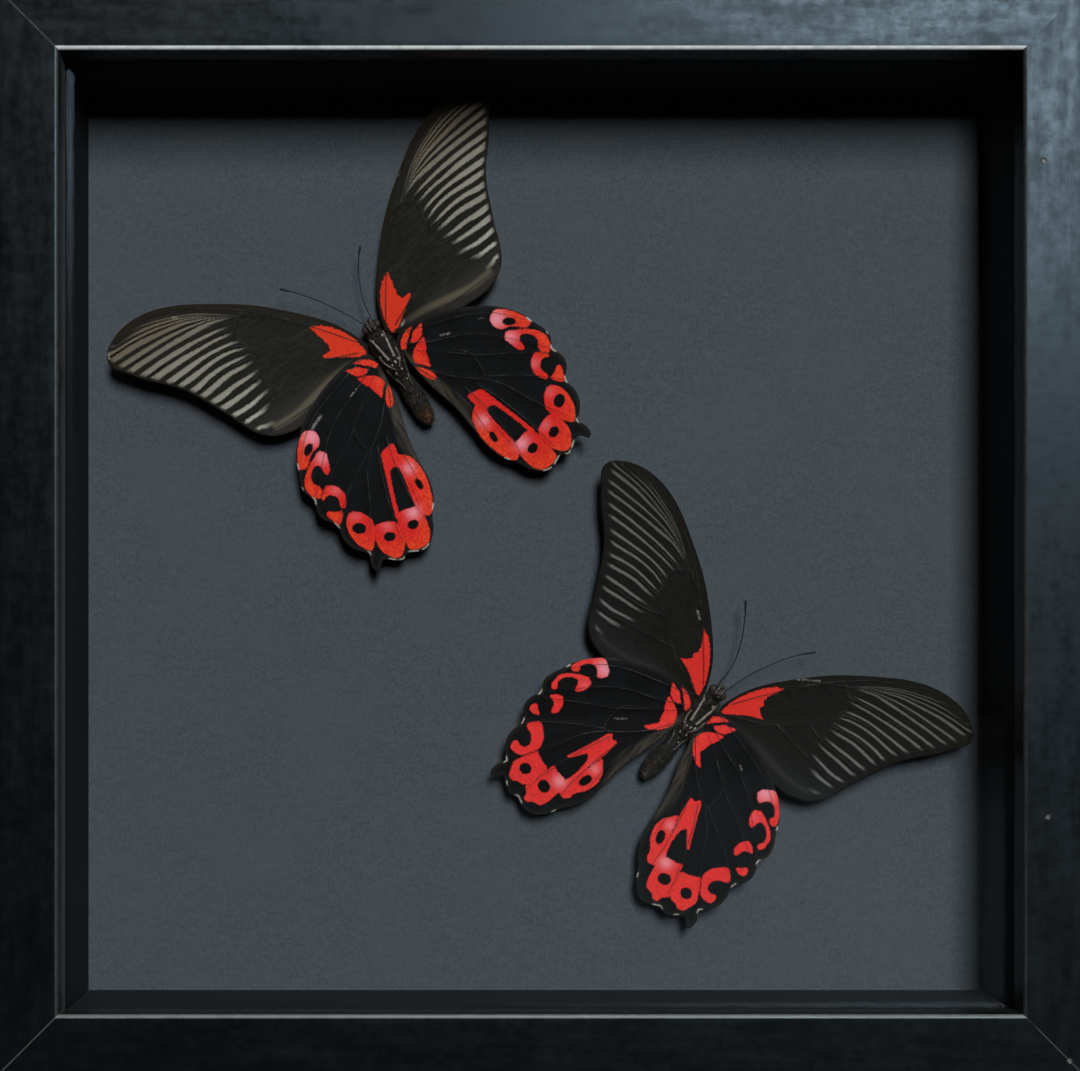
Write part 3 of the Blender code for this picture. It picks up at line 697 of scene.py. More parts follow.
# red fields run from the hindwing's leading edge round to its inner corner
# black spots are (u, v, half width, half height, turn in degrees), pink blooms (u, v, radius, strength)
# and white fringes (u, v, radius)
markings = {
    "specimen_a": {
        "foreRed": [(4.2, 4.4), (4.4, 6.2), (5.0, 9.0), (6.4, 12.0), (8.4, 14.6), (10.6, 16.4),
                    (12.9, 17.2), (12.4, 15.0), (11.8, 13.0), (11.3, 11.0), (11.7, 9.7), (14.6, 9.3),
                    (12.6, 8.0), (10.0, 6.7), (7.6, 5.2), (6.0, 4.4)],
        "red": [
            [(28, -4.3), (29.8, -5.2), (31.5, -7.0), (33, -9.3), (33.9, -11.4), (33.2, -12.0),
             (31.8, -12.0), (30.3, -10.6), (28.6, -9.6), (27, -9.3), (25.9, -8.2), (25.5, -6.5),
             (26.2, -5.0)],
            [(27.8, -10.3), (29.5, -11.2), (31.5, -12.2), (33.2, -13.5), (34.6, -15.2), (35.2, -17),
             (34.6, -19.2), (33.4, -20.3), (32.2, -19.2), (31.9, -17.8), (32.8, -16.5), (32.6, -14.9),
             (31.2, -13.4), (29.8, -13.0), (29.1, -14.0), (29.2, -15.5), (28.6, -16.4), (27.4, -15.4),
             (26.8, -13.5), (26.2, -11.8), (26.8, -10.7)],
            [(30.6, -18.6), (29.1, -19.3), (28.0, -20.8), (27.7, -22.8), (28.4, -24.4), (29.5, -25.6),
             (30.2, -24.9), (29.7, -23.2), (30.0, -21.9), (31.2, -20.8), (33.2, -21.2), (32.4, -19.7)],
            [(30.4, -26.0), (31.6, -27.6), (33.0, -28.4), (33.6, -26.8), (34.2, -24.8), (33.4, -24.2),
             (32.0, -25.2)],
            [(28.9, -27.2), (30.6, -28.2), (31.6, -30.0), (31.9, -32.2), (31.6, -34.6), (30.6, -36.8),
             (29.4, -38.0), (28.0, -36.8), (26.6, -35.0), (25.8, -33.0), (25.4, -31.6), (26.3, -29.3),
             (27.6, -27.8)],
            [(24.5, -33.2), (26, -33.6), (26.8, -35), (27.5, -37.5), (27.3, -39.5), (26.3, -41.7),
             (24.6, -43.0), (22.8, -42.2), (21.4, -40.5), (20.6, -37.5), (20.7, -35.3), (22, -34.2)],
            [(14.2, -34.8), (17.5, -33.6), (19.3, -34), (20.3, -35.8), (20.6, -38.5), (21.3, -41),
             (21, -43.0), (18.8, -43.8), (16.5, -43.6), (14.9, -41.8), (14, -39), (13.7, -36.5)],
            [(10.9, -18.4), (12.5, -18.3), (14.6, -18.8), (15.6, -21), (16.6, -24), (18, -28), (19.4, -32),
             (20.2, -34.6), (19.0, -34.2), (17.9, -30.5), (16.4, -26.5), (15.3, -24), (13.8, -23.4),
             (12.9, -24.4), (13.3, -28), (14.0, -31.8), (14.6, -34.4), (14.0, -35.5), (13.2, -32),
             (12.6, -28), (12.1, -24), (11.4, -21.5)],
            [(10.6, -21.8), (11.4, -21.4), (12.0, -24), (12.5, -28), (13.0, -32), (13.8, -35.8),
             (13.2, -37.8), (11.8, -37.8), (10.4, -36.0), (9.2, -33.0), (8.4, -30), (8.2, -27),
             (8.6, -24.4), (9.4, -22.8)],
        ],
        "backPatch": [(4, -5.2), (5.4, -6.4), (6.8, -8.4), (7.1, -10.0), (6.3, -10.6), (5.2, -9.4),
                      (4.2, -7.2)],
        "spots": [(29.4, -8.6, 1.7, 1.0, -35), (29.2, -31.7, 1.75, 1.35, 40), (23.9, -37.4, 1.5, 1.15, 25),
                  (17.4, -37.9, 1.45, 1.15, 15), (10.8, -30.2, 0.8, 1.5, 0)],
        "pink": [(27.0, -6.4, 2.2, 1.0), (27.4, -12.0, 1.8, 0.75), (29.0, -20.6, 1.4, 0.30),
                 (15.8, -35.4, 1.7, 0.95), (10.8, -25.6, 1.5, 0.75), (23.0, -34.8, 1.4, 0.30),
                 (28.4, -28.6, 1.4, 0.22)],
        "fringe": [(34.0, -10.8, 1.0), (34.7, -20.1, 1.2), (33.4, -28.2, 1.0), (30.3, -38.2, 0.7),
                   (26.5, -42.8, 1.2), (24.2, -43.9, 1.0), (20.8, -43.5, 1.4), (17.6, -44.3, 1.3),
                   (10.6, -36.8, 1.0), (35.7, -16.0, 0.5)],
        "deep": (0.84, 0.030, 0.022),
        "warm": (0.92, 0.078, 0.026),
        "pale": (0.95, 0.42, 0.52),
    },
    "specimen_b": {
        "foreRed": [(3.9, 5.0), (4.4, 7.5), (5.4, 10.2), (7.2, 13.4), (9.4, 16.2), (11.6, 18.2),
                    (13.7, 19.0), (12.6, 17.0), (11.5, 15.2), (11.2, 13.4), (11.9, 12.7), (11.4, 11.6),
                    (12.0, 10.8), (13.6, 9.5), (10.6, 8.4), (8.4, 7.2), (6.4, 5.9), (4.8, 4.9)],
        "red": [
            [(28.2, -3.4), (29.8, -4.4), (31.2, -6.0), (32.3, -7.8), (33.0, -9.6), (32.6, -10.6),
             (31.6, -10.5), (30.8, -9.6), (31.3, -8.6), (30.8, -7.4), (29.6, -6.4), (28.2, -6.2),
             (27.2, -7.0), (26.4, -7.9), (25.2, -7.2), (24.6, -6.0), (25.2, -4.8), (26.6, -3.8)],
            [(28, -9.4), (29.6, -10.0), (31.0, -10.8), (32.6, -12.0), (33.8, -13.4), (34.0, -15.2),
             (33.8, -16.6), (33.0, -17.2), (32.2, -16.6), (33.0, -15.2), (32.8, -13.8), (31.6, -12.3),
             (29.8, -11.5), (28.9, -12.4), (28.8, -13.4), (28.0, -14.0), (27.0, -12.9), (26.4, -11.3),
             (26.6, -10.0)],
            [(30, -17.2), (31.2, -17.6), (32.4, -18.9), (31.2, -19.3), (30.2, -20.0), (29.8, -21.2),
             (29.2, -21.9), (28.2, -20.8), (28.4, -18.9), (29.2, -17.6)],
            [(33.4, -22.6), (34.3, -23.4), (34.0, -24.8), (32.4, -24.9), (31.3, -24.2), (32.2, -23.6)],
            [(29.8, -25.4), (31.0, -26.2), (32.0, -27.6), (31.6, -28.6), (30.4, -28.9), (29.2, -29.8),
             (28.4, -31.2), (28.9, -32.6), (30.2, -33.0), (31.4, -32.6), (32.0, -33.6), (31.4, -35.0),
             (29.6, -35.2), (28.0, -34.4), (27.0, -32.6), (26.0, -30.6), (26.4, -28.6), (28.0, -26.6)],
            [(26.0, -31.4), (26.8, -33), (27.8, -35), (28.6, -37), (28, -38.9), (27.2, -40.4),
             (26.0, -40.9), (24.6, -40.2), (23, -39.9), (22.2, -38.4), (21.6, -35.6), (21.2, -33.2),
             (23, -32.6), (24.6, -32)],
            [(20.4, -31.4), (20.9, -33.4), (21.5, -36), (22.3, -38.6), (22.4, -40), (21.2, -41.0),
             (20.8, -42.4), (19.6, -42.6), (18.4, -41.6), (16.6, -41.2), (15.8, -39.6), (15.3, -37),
             (15.0, -34.6), (15.3, -32.6), (17.0, -32.2), (19, -32)],
            [(12.2, -17.0), (13.4, -17.3), (14.4, -16.2), (15.4, -17.2), (16.2, -19.6), (17.2, -22),
             (18.4, -25), (19.4, -27.6), (18.6, -27.4), (17.2, -25.4), (16.0, -23.9), (15.0, -25.2),
             (14.9, -28), (15.3, -30.8), (15.8, -32.2), (14.9, -33), (14.2, -30), (13.6, -27), (13.0, -24),
             (12.4, -20.6)],
            [(12.2, -22.6), (13.0, -25), (13.8, -28), (14.4, -31), (15.2, -34), (14.8, -35.8),
             (13.2, -36.1), (12.2, -35), (11.9, -33.4), (10.8, -32.0), (9.8, -30), (9.3, -27.6),
             (9.9, -25.2), (11.0, -23.9)],
        ],
        "backPatch": [(4.6, -3.6), (5.8, -5.4), (8, -7.4), (9.8, -9.8), (8.4, -9.6), (6.4, -8.2),
                      (5, -6.4), (4.2, -4.6)],
        "spots": [(25.3, -36.6, 1.5, 1.4, 0), (18.9, -37.0, 1.7, 1.45, 20), (12.0, -29.3, 1.1, 1.9, 15)],
        "pink": [(26.2, -5.2, 2.2, 1.0), (16.8, -33.5, 1.6, 0.85), (12.2, -25.6, 1.3, 0.5),
                 (27.6, -11.4, 1.4, 0.2)],
        "fringe": [(33.6, -10.4, 0.7), (34.8, -19.8, 0.9), (33.4, -28.0, 0.9), (30.4, -38.0, 1.0),
                   (21.6, -43.3, 1.5), (13.0, -40.2, 0.7), (26.6, -42.4, 0.8)],
        "deep": (0.94, 0.046, 0.042),
        "warm": (0.94, 0.060, 0.048),
        "pale": (0.97, 0.42, 0.50),
    },
}

scuffsAndGlints = {  # pale streaks: rubbed scales, and glints painted as pale colour; from, to, half width
    "specimen_a_forewing_left": [((39.6, 36.3), (40.4, 36.7), 0.38), ((58.4, 37.6), (58.9, 36.4), 0.3)],
    "specimen_a_forewing_right": [((30.0, 34.2), (31.0, 34.8), 0.25), ((7.2, 4.4), (8.4, 4.9), 0.4)],
    "specimen_a_hindwing_left": [((22.5, -3.2), (25.8, -4.6), 0.42), ((11.0, -2.0), (14.0, -3.0), 0.2)],
    "specimen_a_hindwing_right": [((13.4, -2.1), (15.6, -2.9), 0.3), ((23.4, -3.8), (24.6, -4.3), 0.2),
                                  ((16.0, -8.4), (17.0, -9.0), 0.2)],
    "specimen_b_forewing_left": [((16.2, 20.4), (18.0, 21.6), 0.32)],
    "specimen_b_forewing_right": [((15.0, 23.0), (20.0, 26.0), 0.22)],
    "specimen_b_hindwing_left": [((25.0, -0.9), (29.5, -3.8), 0.2), ((29.5, -3.8), (32.2, -6.8), 0.18),
                                 ((14.0, -11.0), (16.5, -13.0), 0.22)],
    "specimen_b_hindwing_right": [((17.0, -3.4), (18.2, -4.0), 0.22)],
}

placing = {  # as in the CAD: place on the board, heading, and each wing's swing, shift and size
    "specimen_a": {
        "place": (-36.3, 172.6), "heading": 32.3, "streakSeed": 3.0, "bodySeed": 3.0,
        "forewing_left": (0.0, 0.0, 0.0, 1.005), "forewing_right": (6.3, -0.6, 0.8, 0.975),
        "hindwing_left": (0.0, 0.0, 0.0, 1.005), "hindwing_right": (0.6, 0.0, 0.0, 1.005),
    },
    "specimen_b": {
        "place": (39.1, 82.4), "heading": -41.3, "streakSeed": 7.0, "bodySeed": 11.0,
        "forewing_left": (-2.8, -1.0, 0.6, 0.975), "forewing_right": (5.9, -0.2, 1.2, 0.975),
        "hindwing_left": (-1.0, -1.0, 0.6, 1.005), "hindwing_right": (4.5, -1.6, 1.5, 1.005),
    },
}

sheet = {
    "spacing": 0.45,  # mm between mesh points
    "thickness": 0.12,
    "rise": 4.0,  # degrees, towards the tip
    "camber": 0.9,
    "veinLift": 0.16,
    "wave": 0.28,
    "veinRadius": 0.13,
}


def wingSheet(shape):
    # an even mesh inside the outline: points in u, v and triangles
    loop = smoothLine(shape["outline"], 5, closed=True)
    lengths = np.cumsum([0] + [math.dist(a, b) for a, b in zip(loop, np.roll(loop, -1, axis=0))])
    count = int(lengths[-1] / sheet["spacing"])
    closed = np.vstack([loop, loop[:1]])
    at = np.linspace(0, lengths[-1], count, endpoint=False)
    edge = np.column_stack([np.interp(at, lengths, closed[:, k]) for k in (0, 1)])
    low, high = edge.min(0), edge.max(0)
    step = sheet["spacing"]
    rows = np.arange(low[1], high[1], step * 0.866)
    columns = np.arange(low[0], high[0], step)
    grid = np.array([(u + (i % 2) * step / 2, v) for i, v in enumerate(rows) for u in columns])
    grid = grid[depthInside(edge, grid) > 0.5 * step]
    every = [Vector(p) for p in np.vstack([edge, grid])]
    made = geometry.delaunay_2d_cdt(every, [], [list(range(count))], 1, 1e-6)
    points = np.array([tuple(p) for p in made[0]])
    triangles = np.array([f for f in made[2] if len(f) == 3])
    a, b, c = (points[triangles[:, k]] for k in (0, 1, 2))
    turned = (b[:, 0] - a[:, 0]) * (c[:, 1] - a[:, 1]) - (b[:, 1] - a[:, 1]) * (c[:, 0] - a[:, 0]) < 0
    triangles[turned] = triangles[turned][:, ::-1]
    return points, triangles


def veinFields(shape, points, names):
    # distance to the nearest vein, and the share of the way from it to the next one (0 to 0.5)
    away = np.array([lineDistance(smoothLine(shape["veins"][name], 4), points)[0] for name in names])
    away.sort(axis=0)
    return away[0], away[0] / np.maximum(away[0] + away[1], 1e-6)


def sheetFields(shape, points):
    # what both kinds of wing know at every point
    loop = smoothLine(shape["outline"], 5, closed=True)
    return {
        "anyVein": veinFields(shape, points, shape["veins"])[0],
        "rimAway": lineDistance(loop, points, closed=True)[0],
        "wingU": points[:, 0],
        "wingV": points[:, 1],
    }


def forewingFields(name, points):
    share = veinFields(forewing, points, forewing["fanVeins"])[1]
    start = np.array(forewing["streakStart"], float)
    startAway, _ = lineDistance(smoothLine(start, 4), points)
    beyond = insideLoop(np.vstack([start, [(80, 60), (80, -20)]]), points)
    seed = placing[name]["streakSeed"]
    wander = np.array([noise.noise((u * 0.16, v * 0.16, seed)) for u, v in points])
    return {
        "redEdge": depthInside(np.array(markings[name]["foreRed"], float), points),
        "bandAway": lineDistance(smoothLine(forewing["band"], 4), points)[0],
        "streakShare": share + wander * 0.03,
        "streakFrom": np.where(beyond, startAway, -startAway) + wander * 2.4,
        "outerAway": lineDistance(smoothLine(forewing["outerEdge"], 4), points)[0],
        "frontAway": lineDistance(smoothLine(forewing["frontEdge"], 4), points)[0],
        **sheetFields(forewing, points),
    }


def hindwingFields(name, points):
    marks = markings[name]
    patches = [smoothLine(patch, 3, closed=True) for patch in marks["red"]]
    patches += [np.array(patch, float) for patch in hindwing["baseRed"] + [marks["backPatch"]]]
    spotEdge = np.full(len(points), -9.0)
    for u, v, halfWidth, halfHeight, turn in marks["spots"]:
        c, s = math.cos(math.radians(turn)), math.sin(math.radians(turn))
        across, up = points[:, 0] - u, points[:, 1] - v
        reach = np.hypot((across * c + up * s) / halfWidth, (up * c - across * s) / halfHeight)
        spotEdge = np.maximum(spotEdge, (1 - reach) * min(halfWidth, halfHeight))
    pink = np.zeros(len(points))
    for u, v, radius, strength in marks["pink"]:
        reach = np.hypot(points[:, 0] - u, points[:, 1] - v)
        pink = np.maximum(pink, strength * np.exp(-(reach / radius) ** 2))
    fringe = np.full(len(points), -9.0)
    for u, v, radius in marks["fringe"]:
        fringe = np.maximum(fringe, radius - np.hypot(points[:, 0] - u, points[:, 1] - v))
    return {
        "redEdge": np.max([depthInside(patch, points) for patch in patches], axis=0),
        "spotEdge": spotEdge,
        "pink": pink,
        "fringe": fringe,
        "foldDepth": depthInside(smoothLine(hindwing["fold"], 3, closed=True), points),
        **sheetFields(hindwing, points),
    }


def wingHeights(shape, points, fields, seed):
    # height of the surface above the flat wing, in millimetres
    hinge = np.array(shape["hinge"])
    out = np.linalg.norm(points - hinge, axis=1)
    reach = out / out.max()
    broad = np.array([noise.noise((u * 0.07, v * 0.07, seed)) for u, v in points])
    small = np.array([noise.noise((u * 0.19, v * 0.19, seed + 5)) for u, v in points])
    rolling = broad + 0.5 * small
    ridge = np.exp(-(fields["anyVein"] / 0.55) ** 2)
    curl = np.exp(-fields["rimAway"] / 2.2) * 0.22
    arch = sheet["camber"] * np.sin(np.pi * np.clip(reach, 0, 1)) * 0.5
    return arch + rolling * sheet["wave"] * np.clip(reach * 3, 0, 1) + ridge * sheet["veinLift"] - curl


def specimenMatrix(name):
    # from the specimen's middle on the board to the frame
    x, z = placing[name]["place"]
    base = Matrix.Translation((x * mm, boardY, cadLow.z + z * mm))
    return base @ Euler((0, math.radians(-placing[name]["heading"]), 0)).to_matrix().to_4x4()


def wingMatrix(name, kind, word):
    shape = forewing if kind == "forewing" else hindwing
    swing, shiftU, shiftV, size = placing[name][f"{kind}_{word}"]
    side = -1 if word == "left" else 1
    spot = ((shape["hinge"][0] + shiftU) * side * mm, -shape["height"] * mm,
            (shape["hinge"][1] + shiftV) * mm)
    turn = Euler((0, math.radians(-side * swing), math.radians(-side * sheet["rise"]))).to_matrix().to_4x4()
    return specimenMatrix(name) @ Matrix.Translation(spot) @ turn @ Matrix.Scale(size * mm, 4)


def onWing(shape, word, points, heights):
    # from u, v and height to the wing's own space, still in millimetres
    side = -1 if word == "left" else 1
    u, v = points[:, 0] - shape["hinge"][0], points[:, 1] - shape["hinge"][1]
    return np.column_stack([side * u, -heights, v])


def veinTree():
    # Geometry Nodes: a tapering tube along every vein line
    tree = bpy.data.node_groups.new("veinTubes", "GeometryNodeTree")
    wanted = (("Geometry", "Geometry"), ("Thickness", "Float"), ("Spacing", "Float"),
              ("Material", "Material"))
    for label, kind in wanted:
        tree.interface.new_socket(label, in_out="INPUT", socket_type="NodeSocket" + kind)
    tree.interface.new_socket("Geometry", in_out="OUTPUT", socket_type="NodeSocketGeometry")
    given, result = tree.nodes.new("NodeGroupInput"), tree.nodes.new("NodeGroupOutput")
    curves = add(tree, "GeometryNodeMeshToCurve", {"Mesh": given.outputs["Geometry"]})
    inputs = {"Curve": curves.outputs[0], "Length": given.outputs["Spacing"]}
    even = add(tree, "GeometryNodeResampleCurve", inputs, mode="LENGTH")
    along = add(tree, "GeometryNodeSplineParameter")
    taper = add(tree, "ShaderNodeMapRange", {"Value": along.outputs["Factor"], "To Min": 1.0, "To Max": 0.45})
    thick = times(tree, taper.outputs[0], given.outputs["Thickness"])
    ring = add(tree, "GeometryNodeCurvePrimitiveCircle", {"Resolution": 5, "Radius": 1.0}, mode="RADIUS")
    inputs = {"Curve": even.outputs[0], "Profile Curve": ring.outputs["Curve"], "Scale": thick,
              "Fill Caps": True}
    tube = add(tree, "GeometryNodeCurveToMesh", inputs)
    real = add(tree, "GeometryNodeRealizeInstances", {0: tube.outputs[0]})
    painted = add(tree, "GeometryNodeSetMaterial",
                  {"Geometry": real.outputs[0], "Material": given.outputs["Material"]})
    tree.links.new(painted.outputs[0], result.inputs[0])
    return tree


def setInput(modifier, label, value):
    for item in modifier.node_group.interface.items_tree:
        if item.item_type == "SOCKET" and item.in_out == "INPUT" and item.name == label:
            modifier[item.identifier] = value


def grown(source, tree, values):
    # the plain mesh that a Geometry Nodes tree makes from a source mesh
    holder = bpy.data.objects.new("growing", source)
    bpy.context.scene.collection.objects.link(holder)
    modifier = holder.modifiers.new("grow", "NODES")
    modifier.node_group = tree
    for label, value in values.items():
        setInput(modifier, label, value)
    bpy.context.view_layer.update()
    graph = bpy.context.evaluated_depsgraph_get()
    mesh = bpy.data.meshes.new_from_object(holder.evaluated_get(graph), depsgraph=graph)
    holder.modifiers.clear()
    bpy.data.objects.remove(holder)
    return mesh


def veinLines(shape, word, points, heights):
    # the vein lines as loose edges lying on the wing's surface
    spots = []
    edges = []
    for name, route in shape["veins"].items():
        line = smoothLine(route, 5)
        nearest = [int(np.argmin(((points - p) ** 2).sum(1))) for p in line]
        level = np.array([heights[i] for i in nearest])
        base = len(spots)
        spots += [tuple(p) for p in onWing(shape, word, line, level)]
        edges += [(base + i, base + i + 1) for i in range(len(line) - 1)]
    mesh = bpy.data.meshes.new("veinLines")
    mesh.from_pydata(spots, edges, [])
    return mesh


def buildWing(name, kind, word, sheetParts, fields, materials, tree):
    shape = forewing if kind == "forewing" else hindwing
    points, triangles = sheetParts
    scuffAndGlintReach = np.full(len(points), -9.0)
    for start, end, width in scuffsAndGlints[f"{name}_{kind}_{word}"]:
        scuffAndGlintReach = np.maximum(scuffAndGlintReach, width - lineDistance(np.array([start, end], float), points)[0])
    fields = {**fields, "scuffAndGlint": scuffAndGlintReach}
    seed = sum(ord(letter) for letter in name + kind + word) * 0.37
    heights = wingHeights(shape, points, fields, seed)
    front = onWing(shape, word, points, heights + sheet["thickness"] / 2)
    back = onWing(shape, word, points, heights - sheet["thickness"] / 2)
    count = len(points)
    outward = triangles if word == "right" else triangles[:, ::-1]
    pairs = np.concatenate([triangles[:, [0, 1]], triangles[:, [1, 2]], triangles[:, [2, 0]]])
    _, where, counts = np.unique(np.sort(pairs, axis=1), axis=0, return_index=True, return_counts=True)
    rim = pairs[where[counts == 1]]
    faces = [tuple(t) for t in outward] + [tuple(t[::-1] + count) for t in outward]
    if word == "left":
        rim = rim[:, ::-1]
    faces += [(b, a, a + count, b + count) for a, b in rim]
    mesh = meshFrom(f"{name}_{kind}_{word}", np.vstack([front, back]), faces, outward=False)
    for label, values in fields.items():
        layer = mesh.attributes.new(label, "FLOAT", "POINT")
        layer.data.foreach_set("value", np.tile(values, 2).astype(np.float32))
    matrix = wingMatrix(name, kind, word)
    mesh.transform(matrix)
    tubes = grown(veinLines(shape, word, points, heights), tree,
                  {"Thickness": sheet["veinRadius"], "Spacing": 0.9, "Material": materials[1]})
    tubes.transform(matrix)
    work = bmesh.new()
    work.from_mesh(mesh)
    base = len(work.faces)
    work.from_mesh(tubes)
    work.faces.ensure_lookup_table()
    for face in work.faces[base:]:
        face.smooth = True
    work.to_mesh(mesh)
    work.free()
    newPiece(f"{name}_{kind}_{word}_scaled", mesh, materials, [f"{name}_{kind}_{word}"])
    for face in mesh.polygons[base:]:
        face.material_index = 1


def wingUV(tree):
    # u, v in metres, the same on the left and right wing
    u, v = attribute(tree, "wingU"), attribute(tree, "wingV")
    both = add(tree, "ShaderNodeCombineXYZ", {0: times(tree, u, mm), 1: times(tree, v, mm)})
    return both.outputs[0]


def paleScuffsAndGlints(tree, colour, fray):
    # pale ragged streaks: rubbed scales, and painted glints
    ragged = frayed(tree, "scuffAndGlint", fray, 1.5)
    return laidOver(tree, colour, ramp(tree, ragged, -0.1, 0.4), 0.6, (0.40, 0.40, 0.38))


def forewingMaterial(name, look):
    material, tree, shader = newMaterial(name + "Forewing", Specular_IOR_Level=0.06)
    spot = wingUV(tree)
    scaleHeight, scaleShade = useGroup(tree, "scaleRows", {"Vector": spot, "Rows": 5200.0})
    rough = grains(tree, spot, 1500.0, 3.0, 0.7)
    fray = calc(tree, "SUBTRACT", rough, 0.5)
    u, v = attribute(tree, "wingU"), attribute(tree, "wingV")
    share = frayed(tree, "streakShare", fray, look["feather"])
    # the streaks widen towards the outer edge
    low, high = look["band"]
    widen = ramp(tree, attribute(tree, "streakFrom"), 0.0, 14.0, -look["widen"], look["widen"])
    lowSide = ramp(tree, plus(tree, share, widen), low - 0.035, low + 0.035)
    highSide = ramp(tree, calc(tree, "SUBTRACT", share, widen), high - 0.035, high + 0.045, 1.0, 0.0)
    band = times(tree, lowSide, highSide)
    begin = ramp(tree, frayed(tree, "streakFrom", fray, 4.0), *look["begin"])
    stop = ramp(tree, frayed(tree, "outerAway", fray, 1.5), *look["stop"])
    above = ramp(tree, plus(tree, attribute(tree, "frontAway"), fray), 1.6, 3.4)
    streak = times(tree, times(tree, band, begin), times(tree, stop, above))
    base = tint(tree, ramp(tree, scaleShade, 0.35, 0.85), look["dark"], look["ground"])
    beyond = ramp(tree, attribute(tree, "streakFrom"), -1.0, 5.0)
    base = laidOver(tree, base, beyond, look["haze"], look["brown"])
    cellFolds = grains(tree, spot, 520.0, 3.0, 0.6, stretch=(0.15, 1.3, 1.0))
    cell = ramp(tree, attribute(tree, "streakFrom"), -3.0, -1.0, 1.0, 0.0)
    base = laidOver(tree, base, times(tree, cell, ramp(tree, cellFolds, 0.45, 0.7)), 0.45, look["cell"])
    trailing = times(tree, ramp(tree, v, 2.5, 6.5, 1.0, 0.0), ramp(tree, u, 6.0, 12.0))
    base = laidOver(tree, base, trailing, look["trailing"], look["taupe"])
    fold = times(tree, ramp(tree, attribute(tree, "bandAway"), 0.2, 1.5, 1.0, 0.0), ramp(tree, u, 7.0, 11.0))
    base = laidOver(tree, base, fold, look["fold"], look["foldColour"])
    costal = ramp(tree, frayed(tree, "frontAway", fray, 0.6), 0.5, 2.0, 1.0, 0.0)
    base = laidOver(tree, base, costal, 0.75, look["edge"])
    root = ramp(tree, plus(tree, u, times(tree, v, 0.5)), 12.0, 22.0, 1.0, 0.0)
    base = laidOver(tree, base, root, 0.5, (0.008, 0.0075, 0.006))
    paleColour = tint(tree, ramp(tree, v, 4.0, 16.0), look["paleLow"], look["paleMid"])
    paleColour = tint(tree, ramp(tree, v, 22.0, 38.0), paleColour, look["paleHigh"])
    dusty = laidOver(tree, paleColour, scaleShade, 0.45, shaded(look["paleHigh"], 0.35))
    colour = laidOver(tree, base, streak, look["strength"], dusty)
    rim = ramp(tree, attribute(tree, "rimAway"), 0.15, 0.75, 1.0, 0.0)
    colour = laidOver(tree, colour, rim, 0.7, look["edge"])
    redEdge = frayed(tree, "redEdge", fray, 1.3)
    scarlet = tint(tree, scaleShade, look["red"], shaded(look["red"], 0.72))
    colour = tint(tree, ramp(tree, redEdge, -0.15, 0.2), colour, scarlet)
    crease = ramp(tree, attribute(tree, "anyVein"), 0.1, 0.32, 1.0, 0.0)
    colour = laidOver(tree, colour, crease, 0.55, (0.006, 0.005, 0.004))
    colour = paleScuffsAndGlints(tree, colour, fray)
    wire(tree, shader, Base_Color=colour, Roughness=ramp(tree, scaleShade, 0.3, 0.9, 0.55, 0.8))
    height = plus(tree, times(tree, scaleHeight, 0.5), times(tree, cellFolds, 0.8))
    wire(tree, shader, Normal=bump(tree, height, 0.00012, 0.6))
    return material


hindwingLook = {
    "dark": (0.0028, 0.0028, 0.0030),
    "ground": (0.0085, 0.0085, 0.0085),
    "blueSheen": (0.009, 0.010, 0.013),
    "foldDark": (0.022, 0.018, 0.014),
    "foldPale": (0.085, 0.075, 0.060),
    "rim": (0.024, 0.023, 0.021),
    "spot": (0.005, 0.004, 0.004),
    "crease": (0.008, 0.006, 0.005),
    "fringe": (0.62, 0.59, 0.52),
}


